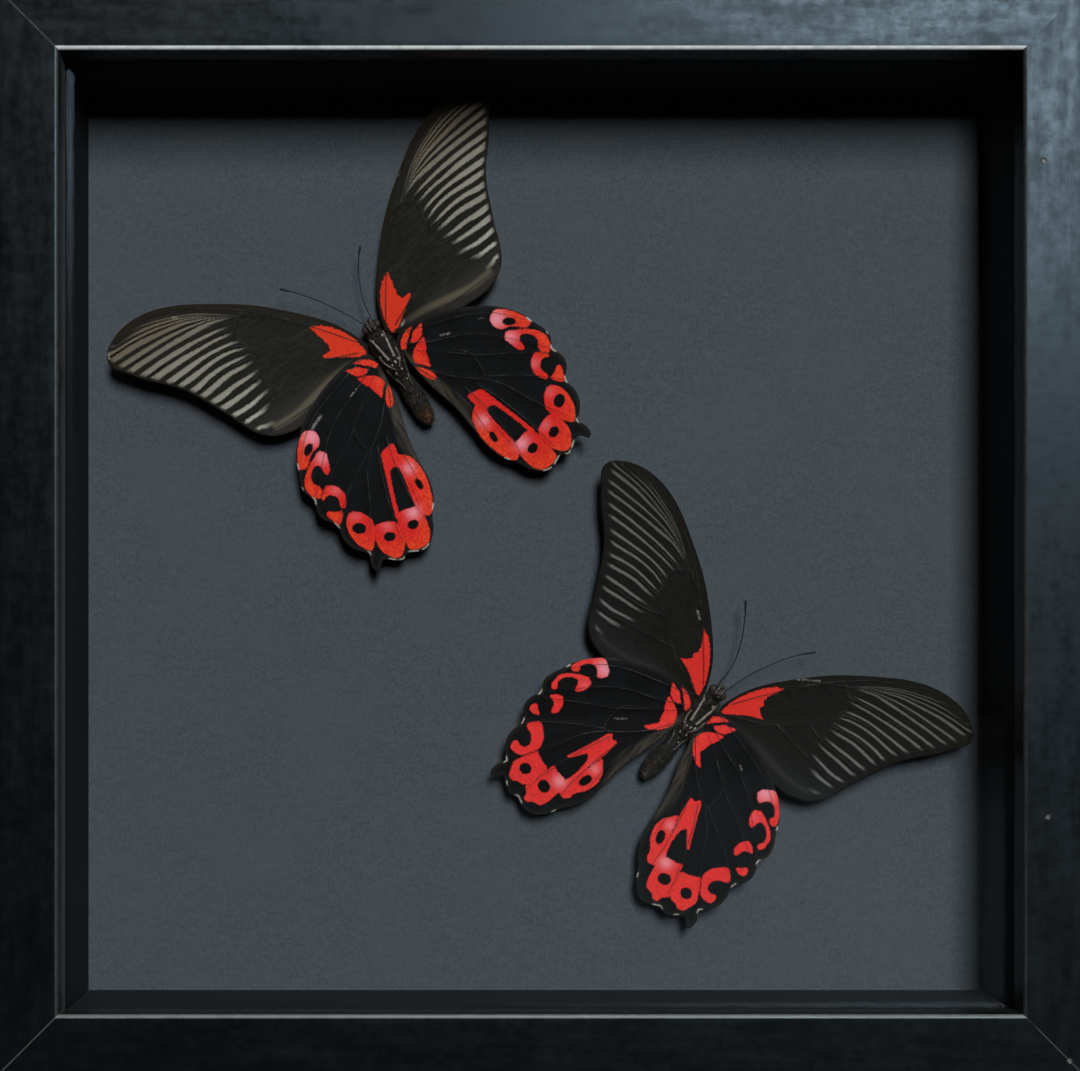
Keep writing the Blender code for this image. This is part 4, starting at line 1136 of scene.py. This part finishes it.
def hindwingMaterial(name):
    marks, look = markings[name], hindwingLook
    material, tree, shader = newMaterial(name + "Hindwing", Specular_IOR_Level=0.06)
    spot = wingUV(tree)
    scaleHeight, scaleShade = useGroup(tree, "scaleRows", {"Vector": spot, "Rows": 5200.0})
    fray = calc(tree, "SUBTRACT", grains(tree, spot, 1700.0, 3.0, 0.7), 0.5)
    clouds = grains(tree, spot, 130.0, 3.0)
    base = tint(tree, ramp(tree, scaleShade, 0.4, 0.9), look["dark"], look["ground"])
    # painted blue-black sheen in cloudy patches over the black
    base = laidOver(tree, base, ramp(tree, clouds, 0.45, 0.7), 0.4, look["blueSheen"])
    fold = ramp(tree, plus(tree, attribute(tree, "foldDepth"), fray), -0.6, 0.8)
    lines = grains(tree, spot, 620.0, 4.0, 0.6, stretch=(1.4, 0.12, 1.0))
    foldColour = tint(tree, ramp(tree, lines, 0.35, 0.65), look["foldDark"], look["foldPale"])
    colour = laidOver(tree, base, fold, 0.85, foldColour)
    rim = ramp(tree, frayed(tree, "rimAway", fray, 0.6), 0.25, 1.3, 1.0, 0.0)
    colour = laidOver(tree, colour, rim, 0.5, look["rim"])
    redEdge = frayed(tree, "redEdge", fray, 0.9)
    warm = ramp(tree, attribute(tree, "rimAway"), 1.0, 5.5, 1.0, 0.0)
    scarlet = tint(tree, warm, marks["deep"], marks["warm"])
    scarlet = tint(tree, ramp(tree, scaleShade, 0.45, 0.95), scarlet, shaded(marks["deep"], 0.75))
    bloom = times(tree, attribute(tree, "pink"),
                  ramp(tree, plus(tree, scaleShade, fray), 0.25, 0.75, 1.0, 0.72))
    scarlet = tint(tree, bloom, scarlet, marks["pale"])
    colour = tint(tree, ramp(tree, redEdge, -0.16, 0.16), colour, scarlet)
    spotEdge = frayed(tree, "spotEdge", fray, 0.7)
    colour = tint(tree, ramp(tree, spotEdge, -0.14, 0.14), colour, look["spot"])
    crease = ramp(tree, attribute(tree, "anyVein"), 0.06, 0.24, 1.0, 0.0)
    colour = laidOver(tree, colour, crease, 0.55, look["crease"])
    white = times(tree, ramp(tree, attribute(tree, "fringe"), -0.2, 0.5),
                 ramp(tree, frayed(tree, "rimAway", fray, 0.9), 0.12, 0.5, 1.0, 0.0))
    colour = laidOver(tree, colour, white, 0.85, look["fringe"])
    colour = paleScuffsAndGlints(tree, colour, fray)
    wire(tree, shader, Base_Color=colour, Roughness=ramp(tree, scaleShade, 0.3, 0.9, 0.42, 0.72))
    height = plus(tree, times(tree, scaleHeight, 0.5), times(tree, clouds, 2.0))
    wire(tree, shader, Normal=bump(tree, height, 0.00012, 0.6))
    return material


veinTints = {  # dark, and pale for painted glints
    "foreVein": ((0.012, 0.010, 0.007), (0.055, 0.048, 0.036)),
    "hindVein": ((0.007, 0.007, 0.007), (0.060, 0.060, 0.058)),
}


def veinMaterial(name):
    dark, pale = veinTints[name]
    material, tree, shader = newMaterial(name, Specular_IOR_Level=0.45)
    place = objectPlace(tree)
    wearAndGlint = grains(tree, place, 380.0, 3.0)
    # pale patches on the veins are painted glints
    wire(tree, shader, Base_Color=tint(tree, ramp(tree, wearAndGlint, 0.45, 0.7), dark, pale),
         Roughness=ramp(tree, wearAndGlint, 0.3, 0.7, 0.35, 0.55),
         Normal=bump(tree, grains(tree, place, 4000.0), 0.00002, 0.5))
    return material


forewingLooks = {
    "specimen_a": {
        "band": (0.14, 0.33), "widen": 0.03, "feather": 0.13, "begin": (-2.0, 3.0), "stop": (0.2, 1.5),
        "strength": 0.95, "haze": 0.35, "dark": (0.008, 0.0078, 0.0066),
        "ground": (0.0205, 0.0205, 0.017), "brown": (0.020, 0.0175, 0.014),
        "cell": (0.040, 0.041, 0.033), "taupe": (0.042, 0.039, 0.037), "trailing": 0.5,
        "edge": (0.020, 0.015, 0.010), "fold": 0.7, "foldColour": (0.145, 0.125, 0.095),
        "paleLow": (0.62, 0.63, 0.56), "paleMid": (0.40, 0.395, 0.34), "paleHigh": (0.20, 0.165, 0.125),
        "red": (0.90, 0.056, 0.022),
    },
    "specimen_b": {
        "band": (0.17, 0.28), "widen": 0.006, "feather": 0.11, "begin": (-3.0, 1.5), "stop": (1.2, 3.0),
        "strength": 0.85, "haze": 0.2, "dark": (0.0058, 0.006, 0.0052),
        "ground": (0.0145, 0.0148, 0.0125), "brown": (0.0115, 0.012, 0.0115),
        "cell": (0.020, 0.020, 0.016), "taupe": (0.020, 0.021, 0.023), "trailing": 0.5,
        "edge": (0.011, 0.010, 0.007), "fold": 0.35, "foldColour": (0.048, 0.048, 0.046),
        "paleLow": (0.25, 0.27, 0.26), "paleMid": (0.215, 0.225, 0.205),
        "paleHigh": (0.165, 0.160, 0.135), "red": (0.93, 0.046, 0.034),
    },
}


def buildWings():
    veins = veinTree()
    foreSheet, hindSheet = wingSheet(forewing), wingSheet(hindwing)
    print("wing sheets:", len(foreSheet[1]), len(hindSheet[1]))
    foreVein, hindVein = veinMaterial("foreVein"), veinMaterial("hindVein")
    for name in placing:
        foreFields = forewingFields(name, foreSheet[0])
        hindFields = hindwingFields(name, hindSheet[0])
        foreLook = forewingMaterial(name, forewingLooks[name])
        hindLook = hindwingMaterial(name)
        for word in ("left", "right"):
            buildWing(name, "forewing", word, foreSheet, foreFields, [foreLook, foreVein], veins)
            buildWing(name, "hindwing", word, hindSheet, hindFields, [hindLook, hindVein], veins)
        print("wings made:", name)


buildWings()


# bodies, legs and antennae

body = {
    # v, half width, half thickness, height of the middle above the board
    "stations": [
        (11.2, 0.3, 0.3, 4.7), (10.6, 1.2, 1.2, 4.7), (9.4, 1.7, 1.7, 4.7), (8.2, 1.6, 1.7, 4.7),
        (7.5, 1.3, 1.5, 4.6), (6.6, 2.0, 2.5, 4.5), (4.4, 2.9, 3.3, 4.5), (1.0, 3.0, 3.4, 4.5),
        (-2.4, 2.6, 3.2, 4.4), (-4.9, 1.7, 2.2, 4.3), (-6.6, 1.7, 2.0, 4.2), (-9.6, 2.1, 2.3, 4.2),
        (-13.6, 2.3, 2.4, 4.1), (-16.6, 1.9, 2.0, 4.0), (-18.2, 1.2, 1.3, 4.0), (-18.8, 0.4, 0.5, 4.0),
    ],
    "rings": 150,
    "sides": 44,
    "segmentEnds": (-5.6, -7.2, -8.9, -10.6, -12.3, -14.0, -15.5, -16.8, -17.8),
    "segmentDip": 0.16,
    "lumps": 0.34,
    "hairs": 9.0,  # for each square millimetre
    "hairLength": 1.0,
    "hairRadius": 0.06,
    "eyeAt": (1.55, -5.2, 9.2),
    "eyeRadii": (1.0, 1.15, 1.15),
    "palp": [(0.5, -6.3, 8.2), (0.62, -7.1, 9.4), (0.55, -6.9, 10.7), (0.4, -6.1, 11.5)],
    "palpRadii": (0.42, 0.2),
    "coilAt": (-6.9, 9.1),  # the rolled tongue, seen from its side
    "coilStart": 0.35,
    "coilGrowth": 0.045,  # for each radian
    "coilTurn": 15.5,
    "coilRadius": 0.13,
    # leg joints, put where pale glints show; their pale colour is a painted glint
    "joints": [(0.35, -1.9, 0.30), (1.35, -1.4, 0.26), (-0.7, -2.2, 0.24), (0.9, -4.0, 0.26),
               (-0.8, -4.3, 0.22),
               (0.7, -6.6, 0.2), (-1.3, 1.2, 0.24), (1.2, 5.6, 0.3), (-1.6, 5.4, 0.26)],  # u, v, radius
}

legs = {
    "fore": {"route": [(0.8, -0.6), (1.2, 2.0), (1.6, 4.4), (2.0, 6.6)], "radius": 0.30, "pale": 1.0},
    "mid": {"route": [(2.3, 1.4), (2.1, -0.6), (1.4, -2.2), (0.6, -3.4)], "radius": 0.26, "pale": 0.45},
    "hind": {"route": [(2.4, -2.2), (2.0, -4.2), (1.3, -6.6), (1.0, -8.8)], "radius": 0.25, "pale": 0.3},
    "lift": 0.55,
    "hairs": 14.0,
    "hairLength": 0.34,
    "hairRadius": 0.032,
}

antennae = {
    "specimen_a": {
        "left": [(1.3, 11.0), (3.8, 15.6), (7.4, 21.2), (10.8, 25.4), (14.2, 28.8)],
        "right": [(1.2, 11.0), (2.0, 16.0), (4.0, 21.0), (6.2, 24.6), (8.4, 27.2)],
    },
    "specimen_b": {
        "left": [(1.2, 11.0), (1.8, 17.0), (4.2, 22.6), (7.2, 27.2), (10.2, 30.8)],
        "right": [(1.2, 11.0), (3.0, 17.6), (5.2, 23.0), (8.2, 28.6), (11.4, 32.6)],
    },
    "low": 5.2,
    "high": 7.8,
    "radius": 0.14,
    "club": 0.27,
    "ringing": 0.10,
}

bodyTints = {
    # specimen A's tip colour is its reddish-brown, brightened to paint glints as well
    "specimen_a": {"tip": (0.21, 0.066, 0.028), "abdomen": (0.040, 0.030, 0.020),
                   "hair": (0.030, 0.024, 0.018)},
    "specimen_b": {"tip": (0.085, 0.070, 0.054), "abdomen": (0.030, 0.026, 0.020),
                   "hair": (0.026, 0.024, 0.020)},
}

hairTints = {  # dark, pale
    "palpHair": ((0.016, 0.014, 0.012), (0.20, 0.185, 0.16)),
    # the pale joint colour is a painted glint
    "legJointGlint": ((0.16, 0.145, 0.12), (0.55, 0.52, 0.45)),
    "antennaSkin": ((0.012, 0.015, 0.022), (0.026, 0.032, 0.046)),
    "leg": ((0.15, 0.138, 0.115), (0.46, 0.43, 0.37)),
    "legFuzz": ((0.05, 0.043, 0.035), (0.50, 0.46, 0.39)),
}


def bodyMatrix(name):
    return specimenMatrix(name) @ Matrix.Scale(mm, 4)


def stationAt(v):
    table = np.array(body["stations"])[::-1]
    return [float(np.interp(v, table[:, 0], table[:, k])) for k in (1, 2, 3)]


def bellyHeight(u, v):
    wide, thick, level = stationAt(v)
    return level + thick * math.sqrt(max(0.0, 1 - (u / wide) ** 2))


def torsoMesh(seed):
    # closed, ringed body from the head to the tip of the abdomen
    table = smoothLine(np.array(body["stations"]), 10)
    stops = np.cumsum([0] + [math.dist(a, b) for a, b in zip(table, table[1:])])
    at = np.linspace(0, stops[-1], body["rings"])
    rows = np.column_stack([np.interp(at, stops, table[:, k]) for k in range(4)])
    points = []
    sides = body["sides"]
    for v, wide, thick, level in rows:
        dip = sum(math.exp(-((v - end) / 0.22) ** 2) for end in body["segmentEnds"]) * body["segmentDip"]
        for k in range(sides):
            a = 2 * math.pi * k / sides
            spot = Vector((math.cos(a) * wide, -level - math.sin(a) * thick, v))
            rough = noise.noise(spot * 0.55 + Vector((seed, 0, 0)))
            rough += 0.5 * noise.noise(spot * 1.6 + Vector((0, seed, 0)))
            shrink = 1 - (dip - rough * body["lumps"]) / max(wide, 0.8)
            points.append((spot.x * shrink, -level + (spot.y + level) * shrink,
                           v + noise.noise(spot * 0.8) * 0.12))
    count = len(rows)
    faces = [tuple(range(sides)), tuple(range((count - 1) * sides, count * sides))]
    for i in range(count - 1):
        low, high = i * sides, (i + 1) * sides
        faces += [(low + k, low + (k + 1) % sides, high + (k + 1) % sides, high + k) for k in range(sides)]
    return points, faces


def ballMesh(centre, radii, rings=12, sides=18):
    # a closed rounded lump
    points = [Vector(centre) + Vector((0, 0, radii[2])), Vector(centre) - Vector((0, 0, radii[2]))]
    for i in range(1, rings):
        lift = math.pi * i / rings
        for k in range(sides):
            a = 2 * math.pi * k / sides
            direction = (math.sin(lift) * math.cos(a) * radii[0], math.sin(lift) * math.sin(a) * radii[1],
                         math.cos(lift) * radii[2])
            points.append(Vector(centre) + Vector(direction))
    faces = []
    for k in range(sides):
        after = (k + 1) % sides
        faces.append((0, 2 + k, 2 + after))
        last = 2 + (rings - 2) * sides
        faces.append((1, last + after, last + k))
        for i in range(rings - 2):
            low, high = 2 + i * sides, 2 + (i + 1) * sides
            faces.append((low + k, high + k, high + after, low + after))
    return points, faces


def hairTree():
    # Geometry Nodes: short swept hairs scattered over a surface
    tree = bpy.data.node_groups.new("hairs", "GeometryNodeTree")
    wanted = (("Geometry", "Geometry"), ("Density", "Float"), ("Length", "Float"), ("Radius", "Float"),
              ("Sweep", "Vector"), ("Seed", "Int"), ("Material", "Material"))
    for label, kind in wanted:
        tree.interface.new_socket(label, in_out="INPUT", socket_type="NodeSocket" + kind)
    tree.interface.new_socket("Geometry", in_out="OUTPUT", socket_type="NodeSocketGeometry")
    given, result = tree.nodes.new("NodeGroupInput"), tree.nodes.new("NodeGroupOutput")
    spread = add(tree, "GeometryNodeDistributePointsOnFaces", {
        "Mesh": given.outputs["Geometry"], "Density": given.outputs["Density"],
        "Seed": given.outputs["Seed"]})
    lean = add(tree, "FunctionNodeRandomValue", {
        "Min": (-0.55, -0.55, -0.55), "Max": (0.55, 0.55, 0.55), "Seed": given.outputs["Seed"]},
        data_type="FLOAT_VECTOR")
    tilted = add(tree, "ShaderNodeVectorMath", {0: spread.outputs["Normal"], 1: given.outputs["Sweep"]},
                 operation="ADD")
    stray = add(tree, "ShaderNodeVectorMath", {0: tilted.outputs[0], 1: lean.outputs[0]}, operation="ADD")
    turned = add(tree, "FunctionNodeAlignEulerToVector", {"Vector": stray.outputs[0]}, axis="Z")
    sized = add(tree, "FunctionNodeRandomValue", {"Seed": 4}, data_type="FLOAT")
    sized.inputs[2].default_value = 0.45
    sized.inputs[3].default_value = 1.15
    long = times(tree, sized.outputs[1], given.outputs["Length"])
    scale = add(tree, "ShaderNodeCombineXYZ", {
        0: given.outputs["Radius"], 1: given.outputs["Radius"], 2: long})
    hair = add(tree, "GeometryNodeMeshCone",
               {"Vertices": 3, "Radius Top": 0.0, "Radius Bottom": 1.0, "Depth": 1.0})
    inputs = {"Points": spread.outputs["Points"], "Instance": hair.outputs["Mesh"],
              "Rotation": turned.outputs[0],
              "Scale": scale.outputs[0]}
    placed = add(tree, "GeometryNodeInstanceOnPoints", inputs)
    real = add(tree, "GeometryNodeRealizeInstances", {0: placed.outputs[0]})
    painted = add(tree, "GeometryNodeSetMaterial",
                  {"Geometry": real.outputs[0], "Material": given.outputs["Material"]})
    tree.links.new(painted.outputs[0], result.inputs[0])
    return tree


def joined(first, others):
    # adds meshes to the first one, each with the next material slot
    work = bmesh.new()
    work.from_mesh(first)
    starts = []
    for other in others:
        starts.append(len(work.faces))
        work.from_mesh(other)
    for face in work.faces:
        face.smooth = True
    work.to_mesh(first)
    work.free()
    return starts


def paintFrom(mesh, starts):
    for slotIndex, start in enumerate(starts):
        for face in mesh.polygons[start:]:
            face.material_index = slotIndex + 1


def bodyMaterial(name):
    tints = bodyTints[name]
    material, tree, shader = newMaterial(name + "Body", Specular_IOR_Level=0.4)
    place = objectPlace(tree)
    blotches = grains(tree, place, 900.0, 4.0, 0.65)
    fine = grains(tree, place, 3600.0, 4.0, 0.7)
    v = attribute(tree, "bodyV")
    abdomen = ramp(tree, v, -7.0, -4.0, 1.0, 0.0)
    colour = tint(tree, ramp(tree, blotches, 0.45, 0.62), (0.005, 0.0045, 0.004), tints["hair"])
    brown = tint(tree, ramp(tree, blotches, 0.42, 0.6), shaded(tints["abdomen"], 0.35), tints["abdomen"])
    colour = tint(tree, abdomen, colour, brown)
    # reddish-brown blotches at the abdomen's tip; on specimen A they also stand for painted glints
    tip = times(tree, ramp(tree, v, -18.4, -14.5, 1.0, 0.0), ramp(tree, blotches, 0.35, 0.55))
    colour = tint(tree, tip, colour, tints["tip"])
    colour = laidOver(tree, colour, ramp(tree, fine, 0.56, 0.68), 0.75, (0.20, 0.165, 0.12))
    wire(tree, shader, Base_Color=colour, Roughness=ramp(tree, fine, 0.3, 0.7, 0.34, 0.62))
    height = plus(tree, blotches, times(tree, fine, 0.4))
    wire(tree, shader, Normal=bump(tree, height, 0.0005, 1.0))
    return material


def hairMaterial(name, dark, pale):
    material, tree, shader = newMaterial(name, Specular_IOR_Level=0.35, Roughness=0.42)
    shade = grains(tree, objectPlace(tree), 2600.0, 3.0, 0.7)
    wire(tree, shader, Base_Color=tint(tree, ramp(tree, shade, 0.46, 0.6), dark, pale),
         Normal=bump(tree, grains(tree, objectPlace(tree), 9000.0), 0.00001, 0.4))
    return material


def eyeMaterial():
    material, tree, shader = newMaterial("compoundEye", Specular_IOR_Level=0.6, Coat_Weight=0.35,
                                         Coat_Roughness=0.12)
    place = objectPlace(tree)
    facets = add(tree, "ShaderNodeTexVoronoi", {"Vector": place, "Scale": 9000.0, "Randomness": 0.3})
    cloud = grains(tree, place, 900.0, 3.0)
    colour = tint(tree, ramp(tree, cloud, 0.35, 0.65), (0.018, 0.013, 0.010), (0.055, 0.042, 0.034))
    wire(tree, shader, Base_Color=colour, Roughness=ramp(tree, cloud, 0.3, 0.7, 0.22, 0.38),
         Normal=bump(tree, facets.outputs["Distance"], 0.00003, 0.5))
    return material


def buildBody(name, tree, materials):
    seed = placing[name]["bodySeed"]
    points, faces = torsoMesh(seed)
    mesh = meshFrom(name + "_body", points, faces)
    grownHair = grown(mesh, tree, {
        "Density": body["hairs"], "Length": body["hairLength"], "Radius": body["hairRadius"],
        "Sweep": (0.0, -0.1, -0.9), "Seed": int(seed), "Material": materials[1]})
    eyeU, eyeY, eyeV = body["eyeAt"]
    lumps = [ballMesh((side * eyeU, eyeY, eyeV), body["eyeRadii"]) for side in (-1, 1)]
    eyes = meshFrom(name + "_eyes", *addParts(lumps))
    palps = []
    for side in (-1, 1):
        route = smoothLine([(side * u, y, v) for u, y, v in body["palp"]], 6)
        palps.append(tubeMesh(route, np.linspace(*body["palpRadii"], len(route)), 10))
    coilY, coilV = body["coilAt"]
    coil = []
    for a in np.linspace(0, body["coilTurn"], 70):
        out = body["coilStart"] + a * body["coilGrowth"]
        coil.append((0.0, coilY - math.cos(a) * out, coilV + math.sin(a) * out))
    palps.append(tubeMesh(coil, [body["coilRadius"]] * len(coil), 8, Vector((1, 0, 0))))
    small = meshFrom(name + "_palps", *addParts(palps))
    fuzz = grown(small, tree, {
        "Density": 9.0, "Length": 0.5, "Radius": 0.035, "Sweep": (0.0, -0.2, 0.5), "Seed": int(seed) + 3,
        "Material": materials[1]})
    knobs = []
    # joint lumps, painted pale as glints
    for u, v, r in body["joints"]:
        knobs.append(ballMesh((u, -bellyHeight(u, v) - 0.45, v), (r, r, r * 1.5), 8, 12))
    joints = meshFrom(name + "_joints", *addParts(knobs))
    starts = joined(mesh, [grownHair, eyes, small, fuzz, joints])
    layer = mesh.attributes.new("bodyV", "FLOAT", "POINT")
    layer.data.foreach_set("value", np.array([vertex.co.z for vertex in mesh.vertices], dtype=np.float32))
    mesh.transform(bodyMatrix(name))
    newPiece(name + "_bodyHairy", mesh, [*materials[:4], materials[1], materials[4]],
             [name + "_body"])
    paintFrom(mesh, starts)


def buildLeg(name, kind, word, tree, materials, seed):
    side = -1 if word == "left" else 1
    leg = legs[kind]
    line = smoothLine(np.array(leg["route"]), 9)
    route = []
    radii = []
    for i, (u, v) in enumerate(line):
        share = i / (len(line) - 1)
        joint = math.exp(-((share - 0.62) / 0.04) ** 2) * 0.35 + math.exp(-((share - 0.02) / 0.05) ** 2) * 0.3
        thin = 1.0 if share < 0.62 else 0.66
        radii.append(leg["radius"] * thin * (1 + joint))
        wobble = noise.noise((share * 3, seed, 0)) * 0.12
        route.append((side * u + wobble, -bellyHeight(u, v) - legs["lift"], v))
    mesh = meshFrom(f"{name}_{kind}", *tubeMesh(route, radii, 12))
    hair = grown(mesh, tree, {
        "Density": legs["hairs"], "Length": legs["hairLength"], "Radius": legs["hairRadius"],
        "Sweep": (0.0, 0.0, 0.5), "Seed": seed, "Material": materials[1]})
    starts = joined(mesh, [hair])
    mesh.transform(bodyMatrix(name))
    newPiece(f"{name}_leg_{kind}_{word}_fuzzy", mesh, materials, [f"{name}_leg_{kind}_{word}"])
    paintFrom(mesh, starts)


def buildAntenna(name, word, material):
    side = -1 if word == "left" else 1
    line = smoothLine(np.array(antennae[name][word]), 24)
    count = len(line)
    route = []
    radii = []
    for i, (u, v) in enumerate(line):
        share = i / (count - 1)
        level = antennae["low"] + (antennae["high"] - antennae["low"]) * share
        swell = easeBetween(share, 0.78, 0.92) * (1 - easeBetween(share, 0.97, 1.0) * 0.7)
        rings = 1 + antennae["ringing"] * (i % 2)
        radii.append((antennae["radius"] + (antennae["club"] - antennae["radius"]) * swell) * rings)
        route.append((side * u, -level, v))
    mesh = meshFrom(f"{name}_antenna_{word}", *tubeMesh(route, radii, 8))
    mesh.transform(bodyMatrix(name))
    newPiece(f"{name}_antenna_{word}_ringed", mesh, [material], [f"{name}_antenna_{word}"])


def buildBodies():
    tree = hairTree()
    eye = eyeMaterial()
    bristle, glintKnuckle, thread = (
        hairMaterial(kind, *hairTints[kind]) for kind in ("palpHair", "legJointGlint", "antennaSkin"))
    for name in placing:
        skin = bodyMaterial(name)
        hair = hairMaterial(name + "Hair", (0.006, 0.0055, 0.0045), shaded(bodyTints[name]["hair"], 4.0))
        buildBody(name, tree, [skin, hair, eye, bristle, glintKnuckle])
        for index, kind in enumerate(("fore", "mid", "hind")):
            pale = legs[kind]["pale"]
            shank = hairMaterial(f"{name}{kind}Leg", *[shaded(c, pale) for c in hairTints["leg"]])
            fuzz = hairMaterial(f"{name}{kind}Fuzz", *[shaded(c, pale) for c in hairTints["legFuzz"]])
            for word in ("left", "right"):
                buildLeg(name, kind, word, tree, [shank, fuzz], index * 2 + (word == "left") + 5)
        for word in ("left", "right"):
            buildAntenna(name, word, thread)
        dressNode(name + "_glue_dab", glueAmber)
        print("body made:", name)


buildBodies()


# floor, lights and camera

studio = {
    "cameraAway": 0.4,  # in front of the rails' faces
    "cameraAt": (-0.01506, 0.0957 - 0.127),  # from the middle of the frame
    "lens": 57.54,
    "shift": (0.0593, 0.1218),
    "around": 0.006,  # light from all round
    "floorSize": 4.0,  # half its width
    "floorSeen": (0.56, 0.555, 0.54),
    "floorBounce": (0.009, 0.009, 0.009),
    "floorGlow": 0.34,
}

# name, degrees to the right of straight ahead, degrees above the frame's middle, metres away, size, watts,
# colour, and the kinds of ray that don't meet the lamp
lamps = [
    ("key", 8.5, 19.5, 3.0, (0.62, 1.10), 79.0, (1.0, 0.985, 0.96), ("glossy", "transmission", "camera")),
    ("sheen", 21.0, 25.0, 1.5, (0.6, 0.45), 11.5, (0.58, 0.82, 1.0), ("diffuse", "transmission", "camera")),
    ("edge", 0.0, 60.0, 0.9, (0.35, 0.35), 3.5, (0.93, 0.98, 1.0), ("diffuse", "transmission", "camera")),
    ("back", 165.0, 35.0, 1.5, (0.8, 0.8), 22.0, (1.0, 0.98, 0.96), ("camera",)),
    ("side", -108.0, 25.0, 1.5, (0.6, 0.6), 6.0, (1.0, 1.0, 1.0), ("camera",)),
    ("side", 108.0, 25.0, 1.5, (0.6, 0.6), 6.0, (1.0, 1.0, 1.0), ("camera",)),
]


def buildFloor():
    size = studio["floorSize"]
    corners = [(-size, -size, 0), (size, -size, 0), (size, size, 0), (-size, size, 0)]
    mesh = meshFrom("floor", corners, [(0, 1, 2, 3)])
    floor = bpy.data.objects.new("floor", mesh)
    bpy.context.scene.collection.objects.link(floor)
    floor.location.z = cadLow.z - 0.0002
    # pale to look at, but dark to light that bounces, so that it doesn't fill the box's shadows
    material, tree, shader = newMaterial("paleFloor", Roughness=0.75, Specular_IOR_Level=0.2)
    seen = add(tree, "ShaderNodeLightPath").outputs["Is Camera Ray"]
    shader.inputs["Emission Color"].default_value = (0.93, 0.92, 0.90, 1.0)
    wire(tree, shader, Base_Color=tint(tree, seen, studio["floorBounce"], studio["floorSeen"]),
         Emission_Strength=times(tree, seen, studio["floorGlow"]))
    mesh.materials.append(material)
    floor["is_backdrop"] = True


def addLamp(name, turn, rise, away, size, watts, colour, unseenBy):
    data = bpy.data.lights.new(name, "AREA")
    data.shape = "RECTANGLE"
    data.size, data.size_y = size
    data.energy = watts
    data.color = colour
    lamp = bpy.data.objects.new(name, data)
    bpy.context.scene.collection.objects.link(lamp)
    t, r = math.radians(turn), math.radians(rise)
    towards = Vector((math.sin(t) * math.cos(r), -math.cos(t) * math.cos(r), math.sin(r)))
    lamp.location = middle + towards * away
    lamp.rotation_euler = towards.to_track_quat("Z", "Y").to_euler()
    for kind in unseenBy:
        setattr(lamp, "visible_" + kind, False)
    # the pane doesn't mirror the lamps, as coated picture glass wouldn't
    lamp.light_linking.receiver_collection = unmirrored


unmirrored = bpy.data.collections.new("unmirrored")
unmirrored.objects.link(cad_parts["glass_pane"])
unmirrored.collection_objects[0].light_linking.link_state = "EXCLUDE"


def buildLights():
    for lamp in lamps:
        addLamp(*lamp)
    world = bpy.data.worlds.new("studio")
    bpy.context.scene.world = world
    world.use_nodes = True
    tree = world.node_tree
    rays = add(tree, "ShaderNodeLightPath")
    shown = add(tree, "ShaderNodeBackground", {0: (0.80, 0.81, 0.82, 1.0), 1: 0.85})
    lit = add(tree, "ShaderNodeBackground", {0: (0.92, 0.97, 1.0, 1.0), 1: studio["around"]})
    mixed = add(tree, "ShaderNodeMixShader",
                {0: rays.outputs["Is Camera Ray"], 1: lit.outputs[0], 2: shown.outputs[0]})
    tree.links.new(mixed.outputs[0], tree.nodes["World Output"].inputs["Surface"])


def buildCamera():
    data = bpy.data.cameras.new("camera")
    camera = bpy.data.objects.new("camera", data)
    bpy.context.scene.collection.objects.link(camera)
    x, z = studio["cameraAt"]
    camera.location = (middle.x + x, faceY - studio["cameraAway"], middle.z + z)
    camera.rotation_euler = (math.radians(90), 0, 0)
    data.lens = studio["lens"]
    data.sensor_width = 36.0
    data.shift_x, data.shift_y = studio["shift"]
    data.clip_start = 0.02
    bpy.context.scene.camera = camera


buildFloor()
buildLights()
buildCamera()
bpy.context.scene.view_settings.view_transform = "Standard"
cycles = bpy.context.scene.cycles  # enough light paths for a dark box, so that a render stays short
cycles.max_bounces = 6
cycles.diffuse_bounces = 2
cycles.glossy_bounces = 2
cycles.transmission_bounces = 4
cycles.caustics_reflective = False
cycles.caustics_refractive = False
print("floor, lights and camera made")

bpy.context.view_layer.update()
